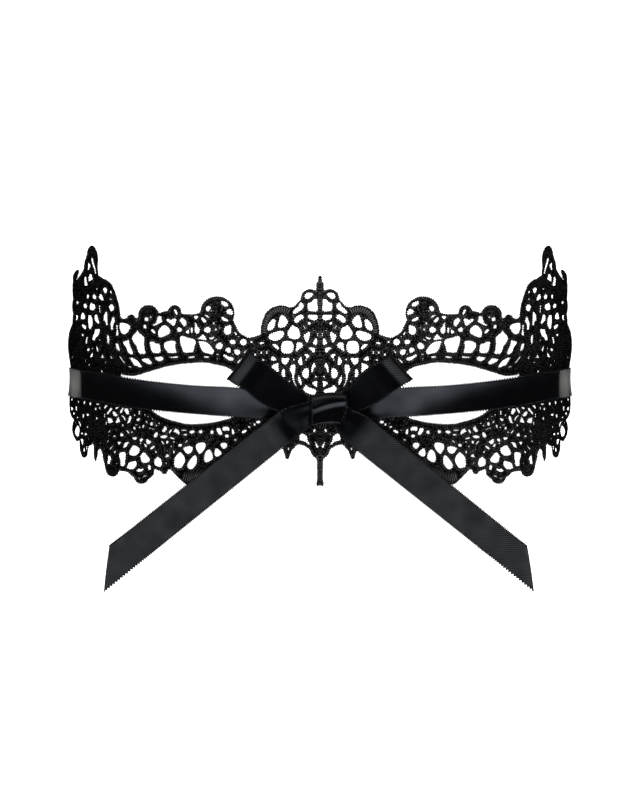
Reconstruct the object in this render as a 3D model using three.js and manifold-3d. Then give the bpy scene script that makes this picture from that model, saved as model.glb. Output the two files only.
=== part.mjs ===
// A lace eye mask, lying on its face: a panel of black guipure lace bent to a U, whose two temples
// are tied together by satin ribbons in a bow. Millimetres. x runs across the face, y up the face,
// z from the face of the lace towards the bow.
import * as THREE from 'three';
import { mergeVertices } from 'three/addons/utils/BufferGeometryUtils.js';
import Module from 'manifold-3d';

const wasm = await Module();
wasm.setup();

// Driving dimensions
const laceThickness = 1.1;
const flatHalf = 14; // half-width of the flat stretch at the nose, which the mask lies on
const sideReach = 59.9; // how far the bend's ellipse runs out beyond the flat stretch
const sideRise = 75; // and its other half-axis, up towards the temples
const bendStep = 16; // degrees of the ellipse between two creases of the faceted lace
const lastCrease = 64;
const templeReach = 72.5; // the temple's edge, in plan
const arcStep = 40; // degrees of a round edge between two corners

const ribbonWidth = 10;
const ribbonThickness = 0.6;
const strapHeight = 64; // the strap's middle line at the temple
const bowHeight = 60.5;
const knotMiddle = new THREE.Vector3(2.6, -3.2, bowHeight);
const knotSize = new THREE.Vector3(10.4, 9.3, 8);
const pieceGap = 0.3;

// One half of the lace, as it shows from its open side: x out from the middle line, y up from the
// eye line. A row of the edge holds the end of a stretch and how far the stretch swells out.
const crestEdge = [
  [1.2, 33.2, 0.3], [1.2, 32.3, 0], // spear on the middle line
  [5.9, 30.2, 1.3], [8.9, 27.3, 0], // small loop and its cord
  [18.3, 19.2, 3.7], // padded arch over the brow
];
const browEdge = [
  [20.9, 18.4, 0.3], [23.9, 20.2, -0.2], [25.5, 23.6, 0],
  [35.0, 25.5, 6.0], // rosette
  [40.2, 25.2, -0.3],
  [44.1, 26.1, 2.0], [46.7, 25.3, 0], // ear
  [52.8, 24.1, 2.9], [53.4, 23.5, 0], // scroll
  [56.0, 23.8, 1.1], [57.6, 24.1, -0.5], // knob
];
const wingEdge = [
  [58.4, 28.7, 0.1], [60.0, 33.1, 0.1], [63.8, 35.7, 0.7],
  [64.4, 41.5, 0], [66.3, 44.7, 0.5], // tip of the wing
  [67.4, 42.1, 0.5], [68.3, 38.9, 0], [70.2, 35.0, 0],
  [71.6, 35.0, 1.6], // tab on the outer edge
  [71.4, 29.0, 0.1], [71.3, 24.7, 0.3], [71.6, 21.9, 0.1],
];
const templeEdge = [
  [72.6, 18.6, 0], [72.5, 9.6, 0.2], [72.5, -1.5, 0], [71.2, -5.8, 0.3],
  [69.7, -11.6, 1.3], [69.6, -13.2, 0],
  [67.1, -13.5, 2.9], [66.0, -12.5, 0], // hanging loop
  [65.5, -16.4, 0], [64.8, -16.4, 0.5], [64.4, -14.6, 0], [63.9, -14.2, 0], // hanging picot
];
const cheekEdge = [
  [62.9, -17.1, 0.2], [61.9, -20.4, 0], [58.0, -20.4, 1.6],
  [55.7, -20.9, 0], [54.1, -22.3, 0], [49.6, -22.9, 1.7],
  [48.1, -21.6, 0], [47.9, -20.0, 0], [46.1, -20.9, 0], [44.1, -20.3, 1.0],
  [43.5, -20.2, 0], [39.4, -24.2, 0.2], [35.1, -24.2, 0.6],
  [24.7, -17.9, 0.5], [17.1, -12.4, 0.2],
];
const noseEdge = [
  [13.8, -12.3, -0.4], [11.1, -14.1, 0],
  [10.3, -17.0, 0], [9.1, -17.2, 0.5], [8.3, -15.0, 0], // pointed picot
  [6.5, -13.1, 0], [3.0, -14.7, -0.3],
  [1.2, -17.3, 0.4], [0.95, -23.3, 0], [1.2, -24.8, 0], [0.9, -25.4, 0], // bulb and spike
];
const crestTop = [0, 36.6];
const spikeFoot = [0, -25.4];

// Openings of one half, each by its corners. The eye comes first.
const eye = [
  [57.6, 7.7], [54.5, 7.1], [51.6, 7.8], [45.8, 9.4], [42.9, 10.1], [37.7, 10.8], [33.5, 10.9],
  [28.4, 9.9], [25.7, 9.0], [23.6, 6.4], [22.6, 2.4], [22.8, -1.2], [24.1, -3.6], [26.6, -5.4],
  [30.7, -6.6], [37.1, -7.1], [40.6, -6.7], [46.4, -4.9], [50.2, -2.6], [54.6, 0.9], [57.2, 4.6],
];
const crestOpenings = [
  [[4.6, 30.8], [3.5, 31.7], [1.9, 31.3], [3.2, 29.9], [4.3, 29.9]],
  [[3.7, 28.5], [1.8, 29.6], [0.8, 29.6], [0.8, 26.2], [3.5, 26.5]],
  [[5.8, 28.9], [4.8, 28.2], [5.8, 26.3], [7.4, 25.4], [8.1, 25.7], [6.5, 27.6]],
  [[5.3, 25.2], [4.7, 24.2], [6.8, 22.6], [7.6, 23.4], [6.6, 24.8]],
  [[3.6, 25.1], [0.8, 25.1], [0.8, 23.7], [3.2, 23.8]],
  [[3.1, 20.2], [3.8, 16.7], [4.9, 18.9]],
];
const archOpenings = [
  [[13.7, 24.0], [13.1, 23.3], [13.6, 21.1], [15.0, 20.4], [15.6, 20.9], [14.6, 23.2]],
  [[11.3, 25.1], [9.4, 23.2], [10.2, 21.7], [11.8, 21.2], [12.4, 22.2]],
  [[12.1, 20.4], [10.6, 20.2], [10.8, 18.7], [13.0, 17.4], [15.2, 18.2], [14.4, 19.5]],
  [[8.0, 22.1], [6.6, 21.4], [5.9, 19.8], [6.2, 18.3], [7.4, 17.8], [9.1, 18.4], [9.6, 20.0]],
];
const noseOpenings = [
  [[10.8, 17.3], [8.4, 17.3], [7.7, 15.9], [8.3, 13.9], [10.6, 13.7], [11.5, 15.5]],
  [[6.9, 16.8], [5.3, 16.9], [5.1, 15.6], [6.9, 14.2]],
  [[11.3, 12.5], [9.0, 12.4], [10.2, 10.2]],
  [[5.4, 12.9], [5.2, 10.4], [6.5, 11.2]],
  [[4.4, 9.4], [3.4, 9.4], [3.3, 7.0], [4.2, 6.2], [5.4, 7.7]],
  [[8.6, 10.3], [7.3, 10.5], [7.4, 5.6], [6.8, 4.0], [8.0, 5.6]],
  [[12.1, 10.9], [12.3, 8.0], [14.5, 9.6]],
  [[4.2, 4.4], [1.4, 3.2], [1.4, 1.6], [4.0, 1.9], [5.1, 3.1]],
  [[13.6, 4.6], [11.4, 4.4], [10.9, 2.0], [12.6, 1.2], [14.3, 2.6]],
  [[18.6, 6.0], [16.4, 5.6], [16.2, 2.9], [17.8, 2.2], [19.2, 3.8]],
  [[9.6, 0.4], [7.6, 0.3], [7.4, -2.2], [9.2, -2.6]],
  [[6.0, -1.2], [3.8, -1.0], [3.6, -4.0], [5.6, -4.4]],
  [[14.6, -2.2], [12.0, -2.0], [11.8, -4.6], [14.0, -5.0]],
  [[19.0, -0.4], [17.0, 0.0], [16.6, -3.0], [18.6, -3.6]],
  [[10.4, -5.6], [8.2, -5.6], [8.4, -7.8], [10.2, -7.6]],
  [[5.5, -9.7], [4.4, -10.2], [3.5, -11.2], [3.2, -12.8], [6.0, -11.7]],
];
const rosetteOpenings = [
  [[29.0, 29.2], [27.0, 28.3], [27.0, 27.5], [28.8, 27.9]],
  [[28.7, 24.6], [27.0, 23.6], [27.2, 22.9], [29.0, 23.7]],
  [[33.0, 27.5], [31.9, 27.4], [32.5, 25.8], [33.4, 26.5]],
  [[32.8, 21.5], [31.9, 20.6], [32.7, 19.6], [33.9, 20.4]],
  [[36.5, 22.7], [35.7, 21.8], [35.0, 20.8], [35.5, 19.2], [36.4, 19.8]],
  [[27.6, 22.0], [26.4, 22.1], [26.2, 19.8], [27.2, 19.1], [28.2, 19.8]],
  [[26.5, 17.7], [25.0, 17.7], [25.0, 16.5], [26.5, 16.5]],
  [[23.4, 17.9], [21.9, 17.7], [21.6, 16.6], [22.6, 16.0], [23.7, 16.9]],
  [[29.4, 17.0], [28.4, 16.0], [29.2, 14.9], [30.5, 15.5]],
  [[27.0, 15.5], [26.3, 14.6], [26.9, 13.6], [28.0, 14.6]],
  [[25.4, 14.9], [23.7, 14.7], [23.9, 13.3], [25.1, 13.4]],
  [[28.4, 13.4], [25.4, 12.3], [25.6, 11.4], [27.4, 11.7]],
];
const scrollOpenings = [
  [[40.4, 24.1], [39.3, 23.6], [38.9, 22.5], [39.4, 21.5], [40.9, 23.2]],
  [[44.7, 23.9], [43.8, 23.4], [42.0, 24.0], [42.9, 21.5], [44.7, 22.9]],
  [[45.7, 21.8], [44.2, 21.1], [43.6, 20.1], [44.2, 18.9], [46.6, 18.0], [47.1, 18.8], [46.8, 21.0]],
  [[47.0, 24.4], [46.0, 24.4], [45.7, 22.8], [48.3, 21.2], [48.9, 21.8], [47.7, 22.7]],
  [[57.6, 22.3], [56.0, 22.2], [54.9, 21.5], [55.2, 20.3], [56.5, 19.0], [57.3, 19.3], [57.8, 20.3]],
];
const ladderOpenings = [
  [[35.4, 17.0], [33.6, 17.0], [32.2, 16.2], [30.9, 14.5], [31.4, 13.5], [33.9, 13.9], [34.7, 15.2]],
  [[40.4, 18.4], [37.1, 17.7], [36.3, 16.5], [37.2, 14.1], [39.7, 14.0], [40.9, 16.6]],
  [[45.0, 16.9], [43.4, 17.3], [42.2, 17.1], [41.9, 13.9], [44.5, 13.9], [45.4, 15.4]],
  [[49.3, 17.0], [47.0, 16.6], [46.5, 13.9], [48.9, 13.9], [49.5, 15.7]],
  [[52.9, 20.2], [51.0, 18.1], [50.6, 13.6], [52.3, 13.4], [53.1, 15.7], [54.2, 17.7]],
  [[57.1, 16.7], [55.4, 17.3], [55.1, 16.0], [54.3, 13.8], [55.4, 13.5], [56.0, 14.2]],
  [[59.2, 16.5], [58.3, 16.5], [57.8, 14.2], [58.9, 15.2]],
  [[48.3, 12.5], [46.3, 12.6], [45.5, 12.0], [46.9, 11.2]],
  [[51.6, 12.0], [49.6, 11.9], [48.6, 10.3], [49.4, 10.2], [50.8, 11.0]],
  [[55.3, 12.2], [54.2, 12.2], [52.6, 11.1], [51.3, 9.6], [52.3, 9.4], [53.9, 10.2]],
  [[43.9, 12.8], [41.4, 12.8], [41.6, 11.9], [43.6, 11.9]],
];
const wingOpenings = [
  [[67.2, 30.5], [66.8, 29.9], [67.1, 28.9], [67.6, 29.3]],
  [[66.9, 39.7], [66.4, 38.5], [66.8, 37.3], [67.2, 38.5]],
  [[67.8, 35.7], [67.4, 34.4], [67.1, 33.1], [67.8, 33.2], [68.0, 35.0]],
  [[67.9, 27.9], [67.3, 27.5], [67.5, 26.3], [68.2, 26.4]],
  [[68.8, 21.7], [67.9, 21.4], [67.6, 20.4], [68.2, 20.4]],
  [[70.5, 28.6], [70.1, 28.1], [70.4, 27.6]],
  [[70.6, 24.6], [70.2, 24.2], [70.4, 22.9], [70.8, 23.6]],
  [[69.0, 19.2], [68.4, 18.9], [68.8, 18.1]],
  [[67.7, 18.2], [67.4, 17.2], [67.8, 16.0], [68.0, 16.8]],
  [[61.4, 18.8], [60.8, 17.9], [61.1, 16.2], [61.4, 16.8]],
  [[66.0, 41.0], [65.5, 40.9], [64.9, 37.8], [65.6, 38.2]],
  [[66.0, 36.4], [65.5, 35.0], [66.4, 34.1], [66.8, 35.3]],
  [[65.2, 30.6], [64.7, 29.9], [64.9, 28.9], [65.6, 29.0], [65.8, 29.9]],
  [[63.4, 30.4], [63.0, 29.9], [62.5, 28.8], [62.9, 28.5], [63.8, 29.3]],
  [[66.0, 28.0], [65.0, 27.4], [65.1, 26.0], [66.4, 26.2], [66.4, 27.4]],
  [[60.5, 27.5], [59.8, 27.5], [59.6, 26.1], [60.4, 25.6], [60.8, 26.9]],
  [[68.6, 25.2], [67.9, 24.0], [68.1, 23.1], [69.0, 23.2]],
  [[66.5, 24.6], [65.9, 23.1], [65.7, 21.4], [66.3, 20.4], [66.9, 21.7], [67.0, 23.4]],
  [[64.6, 24.9], [64.0, 23.7], [63.7, 22.1], [64.9, 22.6], [65.2, 24.0]],
  [[61.7, 25.4], [61.3, 23.1], [61.4, 21.3], [62.4, 23.1], [62.3, 24.6]],
  [[59.7, 24.1], [59.3, 23.0], [60.0, 20.1], [60.5, 22.1]],
  [[64.9, 20.3], [63.7, 20.4], [63.9, 19.1], [65.3, 16.9], [65.7, 17.9]],
  [[61.2, 6.4], [60.4, 5.8], [60.6, 3.0], [61.6, 3.8]],
  [[64.6, 7.8], [63.9, 7.0], [64.2, 5.2], [65.0, 5.8]],
  [[63.8, 3.2], [63.1, 2.6], [63.4, 0.8], [64.2, 1.4]],
  [[67.2, 5.4], [66.6, 4.6], [66.9, 2.4], [67.6, 3.2]],
];
const templeOpenings = [
  [[69.2, 7.4], [68.7, 6.2], [69.0, 4.2], [69.4, 5.2]],
  [[68.5, -0.2], [68.1, -0.8], [68.4, -1.5], [68.7, -0.8]],
  [[70.7, -1.4], [70.3, -2.4], [70.6, -3.6], [70.9, -2.4]],
  [[71.3, -3.2], [71.1, -4.0], [71.4, -4.7]],
  [[68.6, -3.9], [68.3, -4.6], [68.6, -5.4], [68.9, -4.6]],
  [[67.3, -3.7], [66.9, -4.3], [67.3, -4.9], [67.7, -4.3]],
  [[66.6, -0.5], [66.3, -1.1], [66.6, -1.7], [66.9, -1.1]],
  [[67.9, -9.3], [67.5, -9.9], [67.9, -10.5], [68.2, -9.9]],
  [[60.3, -2.0], [59.7, -2.6], [61.2, -4.0], [61.0, -2.7]],
  [[59.4, -3.1], [58.4, -4.2], [59.0, -5.0], [59.9, -3.9]],
  [[56.2, -2.3], [55.5, -2.3], [55.1, -3.4], [55.5, -4.2], [56.1, -3.6]],
  [[61.3, -5.1], [60.3, -5.3], [59.9, -6.4], [60.8, -6.6]],
  [[70.0, -7.2], [69.4, -8.7], [69.9, -10.5], [70.6, -9.2]],
  [[56.1, -12.2], [55.2, -12.2], [55.8, -13.6], [56.6, -13.7]],
  [[57.5, -14.9], [56.4, -14.9], [56.2, -16.2], [56.5, -18.9], [57.3, -18.7], [57.6, -15.9]],
  [[60.8, -15.9], [60.3, -16.8], [60.5, -18.5], [61.2, -17.7]],
  [[54.0, -13.0], [52.4, -14.0], [52.9, -15.9], [54.8, -15.9], [55.1, -14.7]],
  [[53.5, -17.6], [53.0, -18.2], [53.8, -19.9], [54.4, -20.1], [55.4, -19.5], [55.1, -18.1]],
  [[50.9, -15.2], [50.0, -15.9], [49.3, -17.3], [50.3, -18.2], [51.5, -18.0], [51.8, -16.0]],
];
const cheekOpenings = [
  [[50.0, -11.0], [48.8, -11.9], [49.6, -12.8], [50.4, -12.2]],
  [[46.8, -16.5], [45.9, -17.5], [45.8, -18.8], [46.4, -19.2], [47.7, -18.6], [47.9, -17.2]],
  [[29.1, -8.0], [27.2, -7.8], [26.8, -9.1], [28.6, -9.4]],
  [[40.9, -15.4], [39.4, -17.3], [39.7, -19.0], [40.6, -19.9], [41.9, -19.9], [42.4, -18.7], [42.2, -16.6]],
  [[36.4, -16.1], [35.9, -17.5], [36.4, -19.0], [37.4, -20.2], [38.7, -19.4], [38.0, -17.4]],
  [[38.3, -13.4], [37.1, -13.9], [37.4, -15.4], [38.3, -15.8], [39.8, -14.3]],
  [[35.8, -12.6], [33.8, -12.6], [33.6, -13.6], [35.0, -15.8], [36.0, -13.8]],
  [[32.6, -14.8], [31.7, -15.6], [31.5, -17.5], [32.9, -18.4], [33.9, -17.8], [33.6, -15.7]],
  [[30.3, -14.4], [28.9, -15.6], [30.4, -16.8], [31.0, -15.5]],
  [[29.1, -12.6], [27.8, -12.6], [27.3, -13.4], [28.1, -14.4]],
];
const openings = [
  eye, ...crestOpenings, ...archOpenings, ...noseOpenings, ...rosetteOpenings, ...scrollOpenings,
  ...ladderOpenings, ...wingOpenings, ...templeOpenings, ...cheekOpenings,
];

// Corner points of a chain of stretches, each a straight line or an arc.
function edgePoints(start, rows) {
  const points = [new THREE.Vector2(...start)];
  for (const [x, y, swell] of rows) {
    const from = points.at(-1);
    const to = new THREE.Vector2(x, y);
    const chord = to.clone().sub(from);
    const outward = new THREE.Vector2(-chord.y, chord.x).normalize();
    const halfTurn = 2 * Math.atan((2 * swell) / chord.length());
    const steps = Math.max(1, Math.round((2 * Math.abs(halfTurn)) / THREE.MathUtils.degToRad(arcStep)));
    const radius = chord.length() / 2 / Math.sin(halfTurn);
    for (let i = 1; i < steps; i += 1) {
      const turn = halfTurn * ((2 * i) / steps - 1);
      const along = 0.5 + (radius * Math.sin(turn)) / chord.length();
      const height = radius * (Math.cos(turn) - Math.cos(halfTurn));
      points.push(from.clone().addScaledVector(chord, along).addScaledVector(outward, height));
    }
    points.push(to);
  }
  return points;
}

// Cuts a triangle list along the lines x = cut, so that it can crease there.
function creaseTriangles(triangles, cut) {
  const result = [];
  const crossing = (a, b) => {
    const [low, high] = a.x < b.x ? [a, b] : [b, a];
    const point = low.clone().lerp(high, (cut - low.x) / (high.x - low.x));
    point.x = cut;
    return point;
  };
  for (const triangle of triangles) {
    for (const side of [-1, 1]) {
      const part = [];
      triangle.forEach((corner, i) => {
        const next = triangle[(i + 1) % 3];
        if (side * (corner.x - cut) >= 0) part.push(corner);
        if ((corner.x - cut) * (next.x - cut) < 0) part.push(crossing(corner, next));
      });
      if (part.every((corner) => corner.x === cut)) continue;
      for (let i = 2; i < part.length; i += 1) result.push([part[0], part[i - 1], part[i]]);
    }
  }
  return result;
}

function creaseAt(angle) {
  return flatHalf + sideReach * Math.sin(THREE.MathUtils.degToRad(angle));
}

// Carries a point of the flat lace to its place on the bend.
function bendPoint(point) {
  const beyond = Math.max(0, Math.abs(point.x) - flatHalf) / sideReach;
  const angle = Math.asin(beyond);
  const slope = Math.atan2(sideRise * Math.sin(angle), sideReach * Math.cos(angle));
  const lift = point.z - laceThickness / 2;
  return new THREE.Vector3(
    point.x - Math.sign(point.x) * Math.sin(slope) * lift,
    point.y,
    laceThickness / 2 + sideRise * (1 - Math.cos(angle)) + Math.cos(slope) * lift,
  );
}

function geometryOf(triangles) {
  const geometry = new THREE.BufferGeometry();
  const corners = triangles.flat().flatMap((corner) => corner.toArray());
  geometry.setAttribute('position', new THREE.Float32BufferAttribute(corners, 3));
  return mergeVertices(geometry, 1e-4);
}

function trianglesOf(geometry) {
  const flat = geometry.index ? geometry.toNonIndexed() : geometry;
  const position = flat.getAttribute('position');
  const triangles = [];
  for (let i = 0; i < position.count; i += 3) {
    triangles.push([0, 1, 2].map((k) => new THREE.Vector3().fromBufferAttribute(position, i + k)));
  }
  return triangles;
}

function solidOf(geometry) {
  const bare = geometry.clone();
  bare.deleteAttribute('normal');
  bare.deleteAttribute('uv');
  const merged = mergeVertices(bare, 1e-4);
  return new wasm.Manifold(new wasm.Mesh({
    numProp: 3,
    vertProperties: new Float32Array(merged.getAttribute('position').array),
    triVerts: new Uint32Array(merged.index.array),
  }));
}

function geometryFrom(solid) {
  const mesh = solid.getMesh();
  const geometry = new THREE.BufferGeometry();
  geometry.setAttribute('position', new THREE.BufferAttribute(mesh.vertProperties, 3));
  geometry.setIndex(new THREE.BufferAttribute(mesh.triVerts, 1));
  return geometry;
}

// A flat slab of the given outline, reaching a margin beyond the lace's two faces.
function slab(outline, margin) {
  const depth = laceThickness + 2 * margin;
  const geometry = new THREE.ExtrudeGeometry(new THREE.Shape(outline), { depth, bevelEnabled: false });
  return trianglesOf(geometry.translate(0, 0, -margin));
}

function lacePanel() {
  const rows = [...crestEdge, ...browEdge, ...wingEdge, ...templeEdge, ...cheekEdge, ...noseEdge];
  const right = edgePoints(crestTop, [...rows, [...spikeFoot, 0]]);
  const left = right.slice(1, -1).reverse().map((point) => new THREE.Vector2(-point.x, point.y));
  const holes = [1, -1].flatMap((side) => openings.flatMap((corners) => (
    slab(corners.map(([x, y]) => new THREE.Vector2(side * x, y)), laceThickness)
  )));
  const panel = solidOf(geometryOf(slab([...right, ...left], 0))).subtract(solidOf(geometryOf(holes)));
  let triangles = trianglesOf(geometryFrom(panel));
  for (let angle = 0; angle <= lastCrease; angle += bendStep) {
    const crease = creaseAt(angle);
    triangles = creaseTriangles(triangles, crease);
    triangles = creaseTriangles(triangles, -crease);
  }
  return geometryOf(triangles.map((triangle) => triangle.map(bendPoint)));
}

// A flat band through stations that hold its middle line and the way to its upper edge.
function band(stations, stepsPerSpan = 2) {
  const middle = new THREE.CatmullRomCurve3(stations.map(([at]) => new THREE.Vector3(...at)));
  const spans = stations.length - 1;
  const steps = spans * stepsPerSpan;
  const rings = [];
  for (let i = 0; i <= steps; i += 1) {
    const at = middle.getPoint(i / steps);
    const span = Math.min(spans - 1, Math.floor(i / stepsPerSpan));
    const [from, to] = [stations[span][1], stations[span + 1][1]].map((edge) => new THREE.Vector3(...edge));
    const edge = from.lerp(to, i / stepsPerSpan - span);
    const face = middle.getTangent(i / steps).cross(edge).setLength(ribbonThickness / 2);
    rings.push([[1, 1], [-1, 1], [-1, -1], [1, -1]].map(([across, up]) => (
      at.clone().addScaledVector(edge, across).addScaledVector(face, up)
    )));
  }
  const triangles = [];
  const quad = (a, b, c, d) => triangles.push([a, b, c], [a, c, d]);
  for (let i = 0; i < steps; i += 1) {
    for (let k = 0; k < 4; k += 1) {
      const next = (k + 1) % 4;
      quad(rings[i][k], rings[i][next], rings[i + 1][next], rings[i + 1][k]);
    }
  }
  quad(...rings[0].slice().reverse());
  quad(...rings[steps]);
  return geometryOf(triangles);
}

// Half of the ribbon's width, turned by an angle in plan and tilted up, in degrees.
function halfWidth(turn, tilt = 0, share = 1) {
  const reach = (ribbonWidth / 2) * share;
  const [a, b] = [turn, tilt].map(THREE.MathUtils.degToRad);
  return [reach * Math.sin(a) * Math.cos(b), reach * Math.cos(a) * Math.cos(b), reach * Math.sin(b)];
}

// A point of a ribbon sewn against the inside of the temple, at a share of its last facet's height.
function againstTemple(share, y) {
  const [foot, top] = [creaseAt(lastCrease), templeReach].map((x) => (
    bendPoint(new THREE.Vector3(x, y, laceThickness))
  ));
  const inward = new THREE.Vector3(foot.z - top.z, 0, top.x - foot.x);
  return foot.lerp(top, share).add(inward.setLength(pieceGap + ribbonThickness / 2)).toArray();
}

// The strap: sewn inside the temple, folded over its end and led across to the knot.
function strap(side) {
  const tabEdge = halfWidth(2, 8);
  const knotX = side < 0 ? 3.4 : 6.2;
  const stations = [
    [againstTemple(0.3, 6.6), tabEdge], [againstTemple(0.62, 6.2), tabEdge],
    [againstTemple(0.95, 5.8), tabEdge],
    [[71.6, 5.6, 61.4], halfWidth(4, 15)], [[71.7, 5.4, 63.0], halfWidth(4, 24)],
    [[70.7, 5.2, strapHeight], halfWidth(0, 30)], [[68.6, 4.5, strapHeight], halfWidth(0, 30)],
    [[60.0, 2.7, strapHeight - 0.9], halfWidth(0, 30)], [[46.0, 1.0, strapHeight - 2.8], halfWidth(0, 30)],
    [[34.7, -0.1, strapHeight - 4.4], halfWidth(0, 25)],
    [[24.6, -0.9, strapHeight - 5.7], halfWidth(0, 16, 0.95)],
    [[14.0, -2.1, strapHeight - 6.3], halfWidth(0, 4, 0.88)],
    [[knotX, -3.2, strapHeight - 5.8], halfWidth(0, 0, 0.7)],
  ];
  return band(stations.map(([at, edge]) => [at, edge].map(([x, y, z]) => [side * x, y, z])));
}

// A loop of the bow: out along its underside, round the roll and back along its top.
function loop(start, roll, turn) {
  const profile = [
    [0, -0.8, 0.45], [0.3, -1.8, 0.68], [0.65, -2.4, 0.95], [0.91, -2.1, 1],
    [1, 0, 1], [0.91, 2.2, 1], [0.65, 2.6, 0.95], [0.3, 1.8, 0.68], [0, 0.8, 0.45],
  ];
  return band(profile.map(([along, lift, share]) => {
    const at = start.clone().lerp(roll, along);
    return [[at.x, at.y, at.z + lift], halfWidth(turn * along, 0, share)];
  }));
}

// The left tail's slanting cut: from the middle of the ribbon's end to its upper corner.
const cutReach = [0.9, 6.85, 0];

const leftTail = [
  [[-3.4, -3.9, 60.2], halfWidth(-4, 0, 0.7)], [[-8.2, -4.6, 60.6], halfWidth(-18, 0, 0.85)],
  [[-12.8, -7.4, 59.4], halfWidth(-34, 0, 0.95)], [[-20, -13.4, 55.5], halfWidth(-40)],
  [[-32, -23.6, 40], halfWidth(-40)], [[-44, -33.9, 20], halfWidth(-40)],
  [[-52, -40.7, 6.5], halfWidth(-40)], [[-57.6, -45.5, 0.9], halfWidth(-40)],
  [[-62.9, -50.0, 0.32], cutReach],
];
const rightTail = [
  [[5.6, -4.9, 60.2], halfWidth(38, 0, 0.75)], [[9.6, -7.9, 59.8], halfWidth(38, 0, 0.95)],
  [[14.5, -11.8, 57.6], halfWidth(38)], [[20.2, -16.3, 53.8], halfWidth(38)],
  [[31, -25.0, 40], halfWidth(38)], [[43, -34.6, 20.5], halfWidth(38)],
  [[51, -41.1, 7.2], halfWidth(38)], [[56.8, -45.8, 0.9], halfWidth(38)],
  [[62.1, -50.0, 0.32], [-cutReach[0], cutReach[1], 0]],
];

// The wrap of the knot: a round-edged band around the middle of the bow.
function knot() {
  const bevel = 1.2;
  const across = knotSize.y / 2 - bevel;
  const high = knotSize.z / 2 - bevel;
  const section = new THREE.Shape();
  section.absellipse(0, 0, high, across, 0, 2 * Math.PI);
  const wrap = new THREE.ExtrudeGeometry(section, {
    depth: knotSize.x - 2 * bevel, bevelThickness: bevel, bevelSize: bevel, bevelSegments: 2, curveSegments: 7,
  });
  wrap.translate(0, 0, bevel - knotSize.x / 2);
  wrap.rotateY(Math.PI / 2);
  wrap.translate(...knotMiddle);
  return wrap;
}

// The folds of the left ribbon, gathered where they enter the knot.
function gather() {
  const reach = new THREE.Vector3(1.9, 3.4, 3.2);
  const folds = new THREE.SphereGeometry(1, 10, 6);
  folds.rotateZ(Math.PI / 2);
  folds.scale(reach.x, reach.y, reach.z);
  folds.translate(knotMiddle.x - knotSize.x / 2 - pieceGap - reach.x, knotMiddle.y, bowHeight);
  return folds;
}

function joined(pieces) {
  const [first, ...rest] = pieces.map(solidOf);
  return geometryFrom(rest.reduce((sum, piece) => sum.add(piece), first));
}

function laceMesh() {
  const lace = new THREE.MeshStandardMaterial({ color: 0x0d0d0f, roughness: 0.85, metalness: 0 });
  const mesh = new THREE.Mesh(lacePanel(), lace);
  mesh.name = 'lace_mask';
  return mesh;
}

function ribbonMesh(name, pieces) {
  const satin = new THREE.MeshStandardMaterial({ color: 0x15161a, roughness: 0.42, metalness: 0 });
  const mesh = new THREE.Mesh(joined(pieces), satin);
  mesh.name = name;
  return mesh;
}

const leftLoop = loop(new THREE.Vector3(-4.2, -2.4, 61.4), new THREE.Vector3(-23.7, 10.1, 61.8), 39);
const rightLoop = loop(new THREE.Vector3(6.4, -2.4, 61.4), new THREE.Vector3(23.4, 9.5, 61.8), -43);

const mask = new THREE.Group();
mask.add(laceMesh());
mask.add(ribbonMesh('ribbon_left', [strap(-1), leftLoop, band(leftTail), gather()]));
mask.add(ribbonMesh('ribbon_right', [strap(1), rightLoop, band(rightTail), knot()]));

// The part's origin is under the middle of its outline, on the surface that it lies on.
const middle = new THREE.Box3().setFromObject(mask, true).getCenter(new THREE.Vector3());
mask.position.y = -middle.y;
mask.updateMatrixWorld(true);

export default mask;
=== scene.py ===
"""Dresses a black lace eye mask that lies on its face, its ribbons tied in a bow above it."""

import math

import bpy
import numpy as np
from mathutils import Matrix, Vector, geometry, kdtree


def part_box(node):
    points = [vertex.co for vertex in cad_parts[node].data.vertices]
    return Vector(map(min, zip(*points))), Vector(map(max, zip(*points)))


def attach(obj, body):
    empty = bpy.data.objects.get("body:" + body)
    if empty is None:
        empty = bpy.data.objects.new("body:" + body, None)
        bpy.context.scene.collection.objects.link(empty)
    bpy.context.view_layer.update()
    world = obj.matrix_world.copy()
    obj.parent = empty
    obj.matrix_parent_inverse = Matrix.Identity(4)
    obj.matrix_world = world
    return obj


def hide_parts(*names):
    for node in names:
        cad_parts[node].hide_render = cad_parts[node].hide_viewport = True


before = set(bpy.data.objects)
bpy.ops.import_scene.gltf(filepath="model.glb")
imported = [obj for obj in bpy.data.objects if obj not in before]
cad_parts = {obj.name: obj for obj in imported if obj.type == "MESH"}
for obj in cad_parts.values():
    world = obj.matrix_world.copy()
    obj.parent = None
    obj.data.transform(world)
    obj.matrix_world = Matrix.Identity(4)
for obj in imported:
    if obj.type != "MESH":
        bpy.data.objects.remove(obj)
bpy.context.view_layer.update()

# The lace: one panel of guipure, embroidered in matt black thread on a ground that is washed out
# afterwards, so that only cords, padded bands and the openings between them are left. The worked
# sheet is stiff enough to keep the bend of a face, and lies on its middle with both wings standing up.

# Places on it are in millimetres, x from its middle line and y from the eye line, which lies WING_TIP
# below its highest points.
WING_TIP = 44.7
EYE_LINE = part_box("lace_mask")[1][1] * 1000 - WING_TIP

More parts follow.
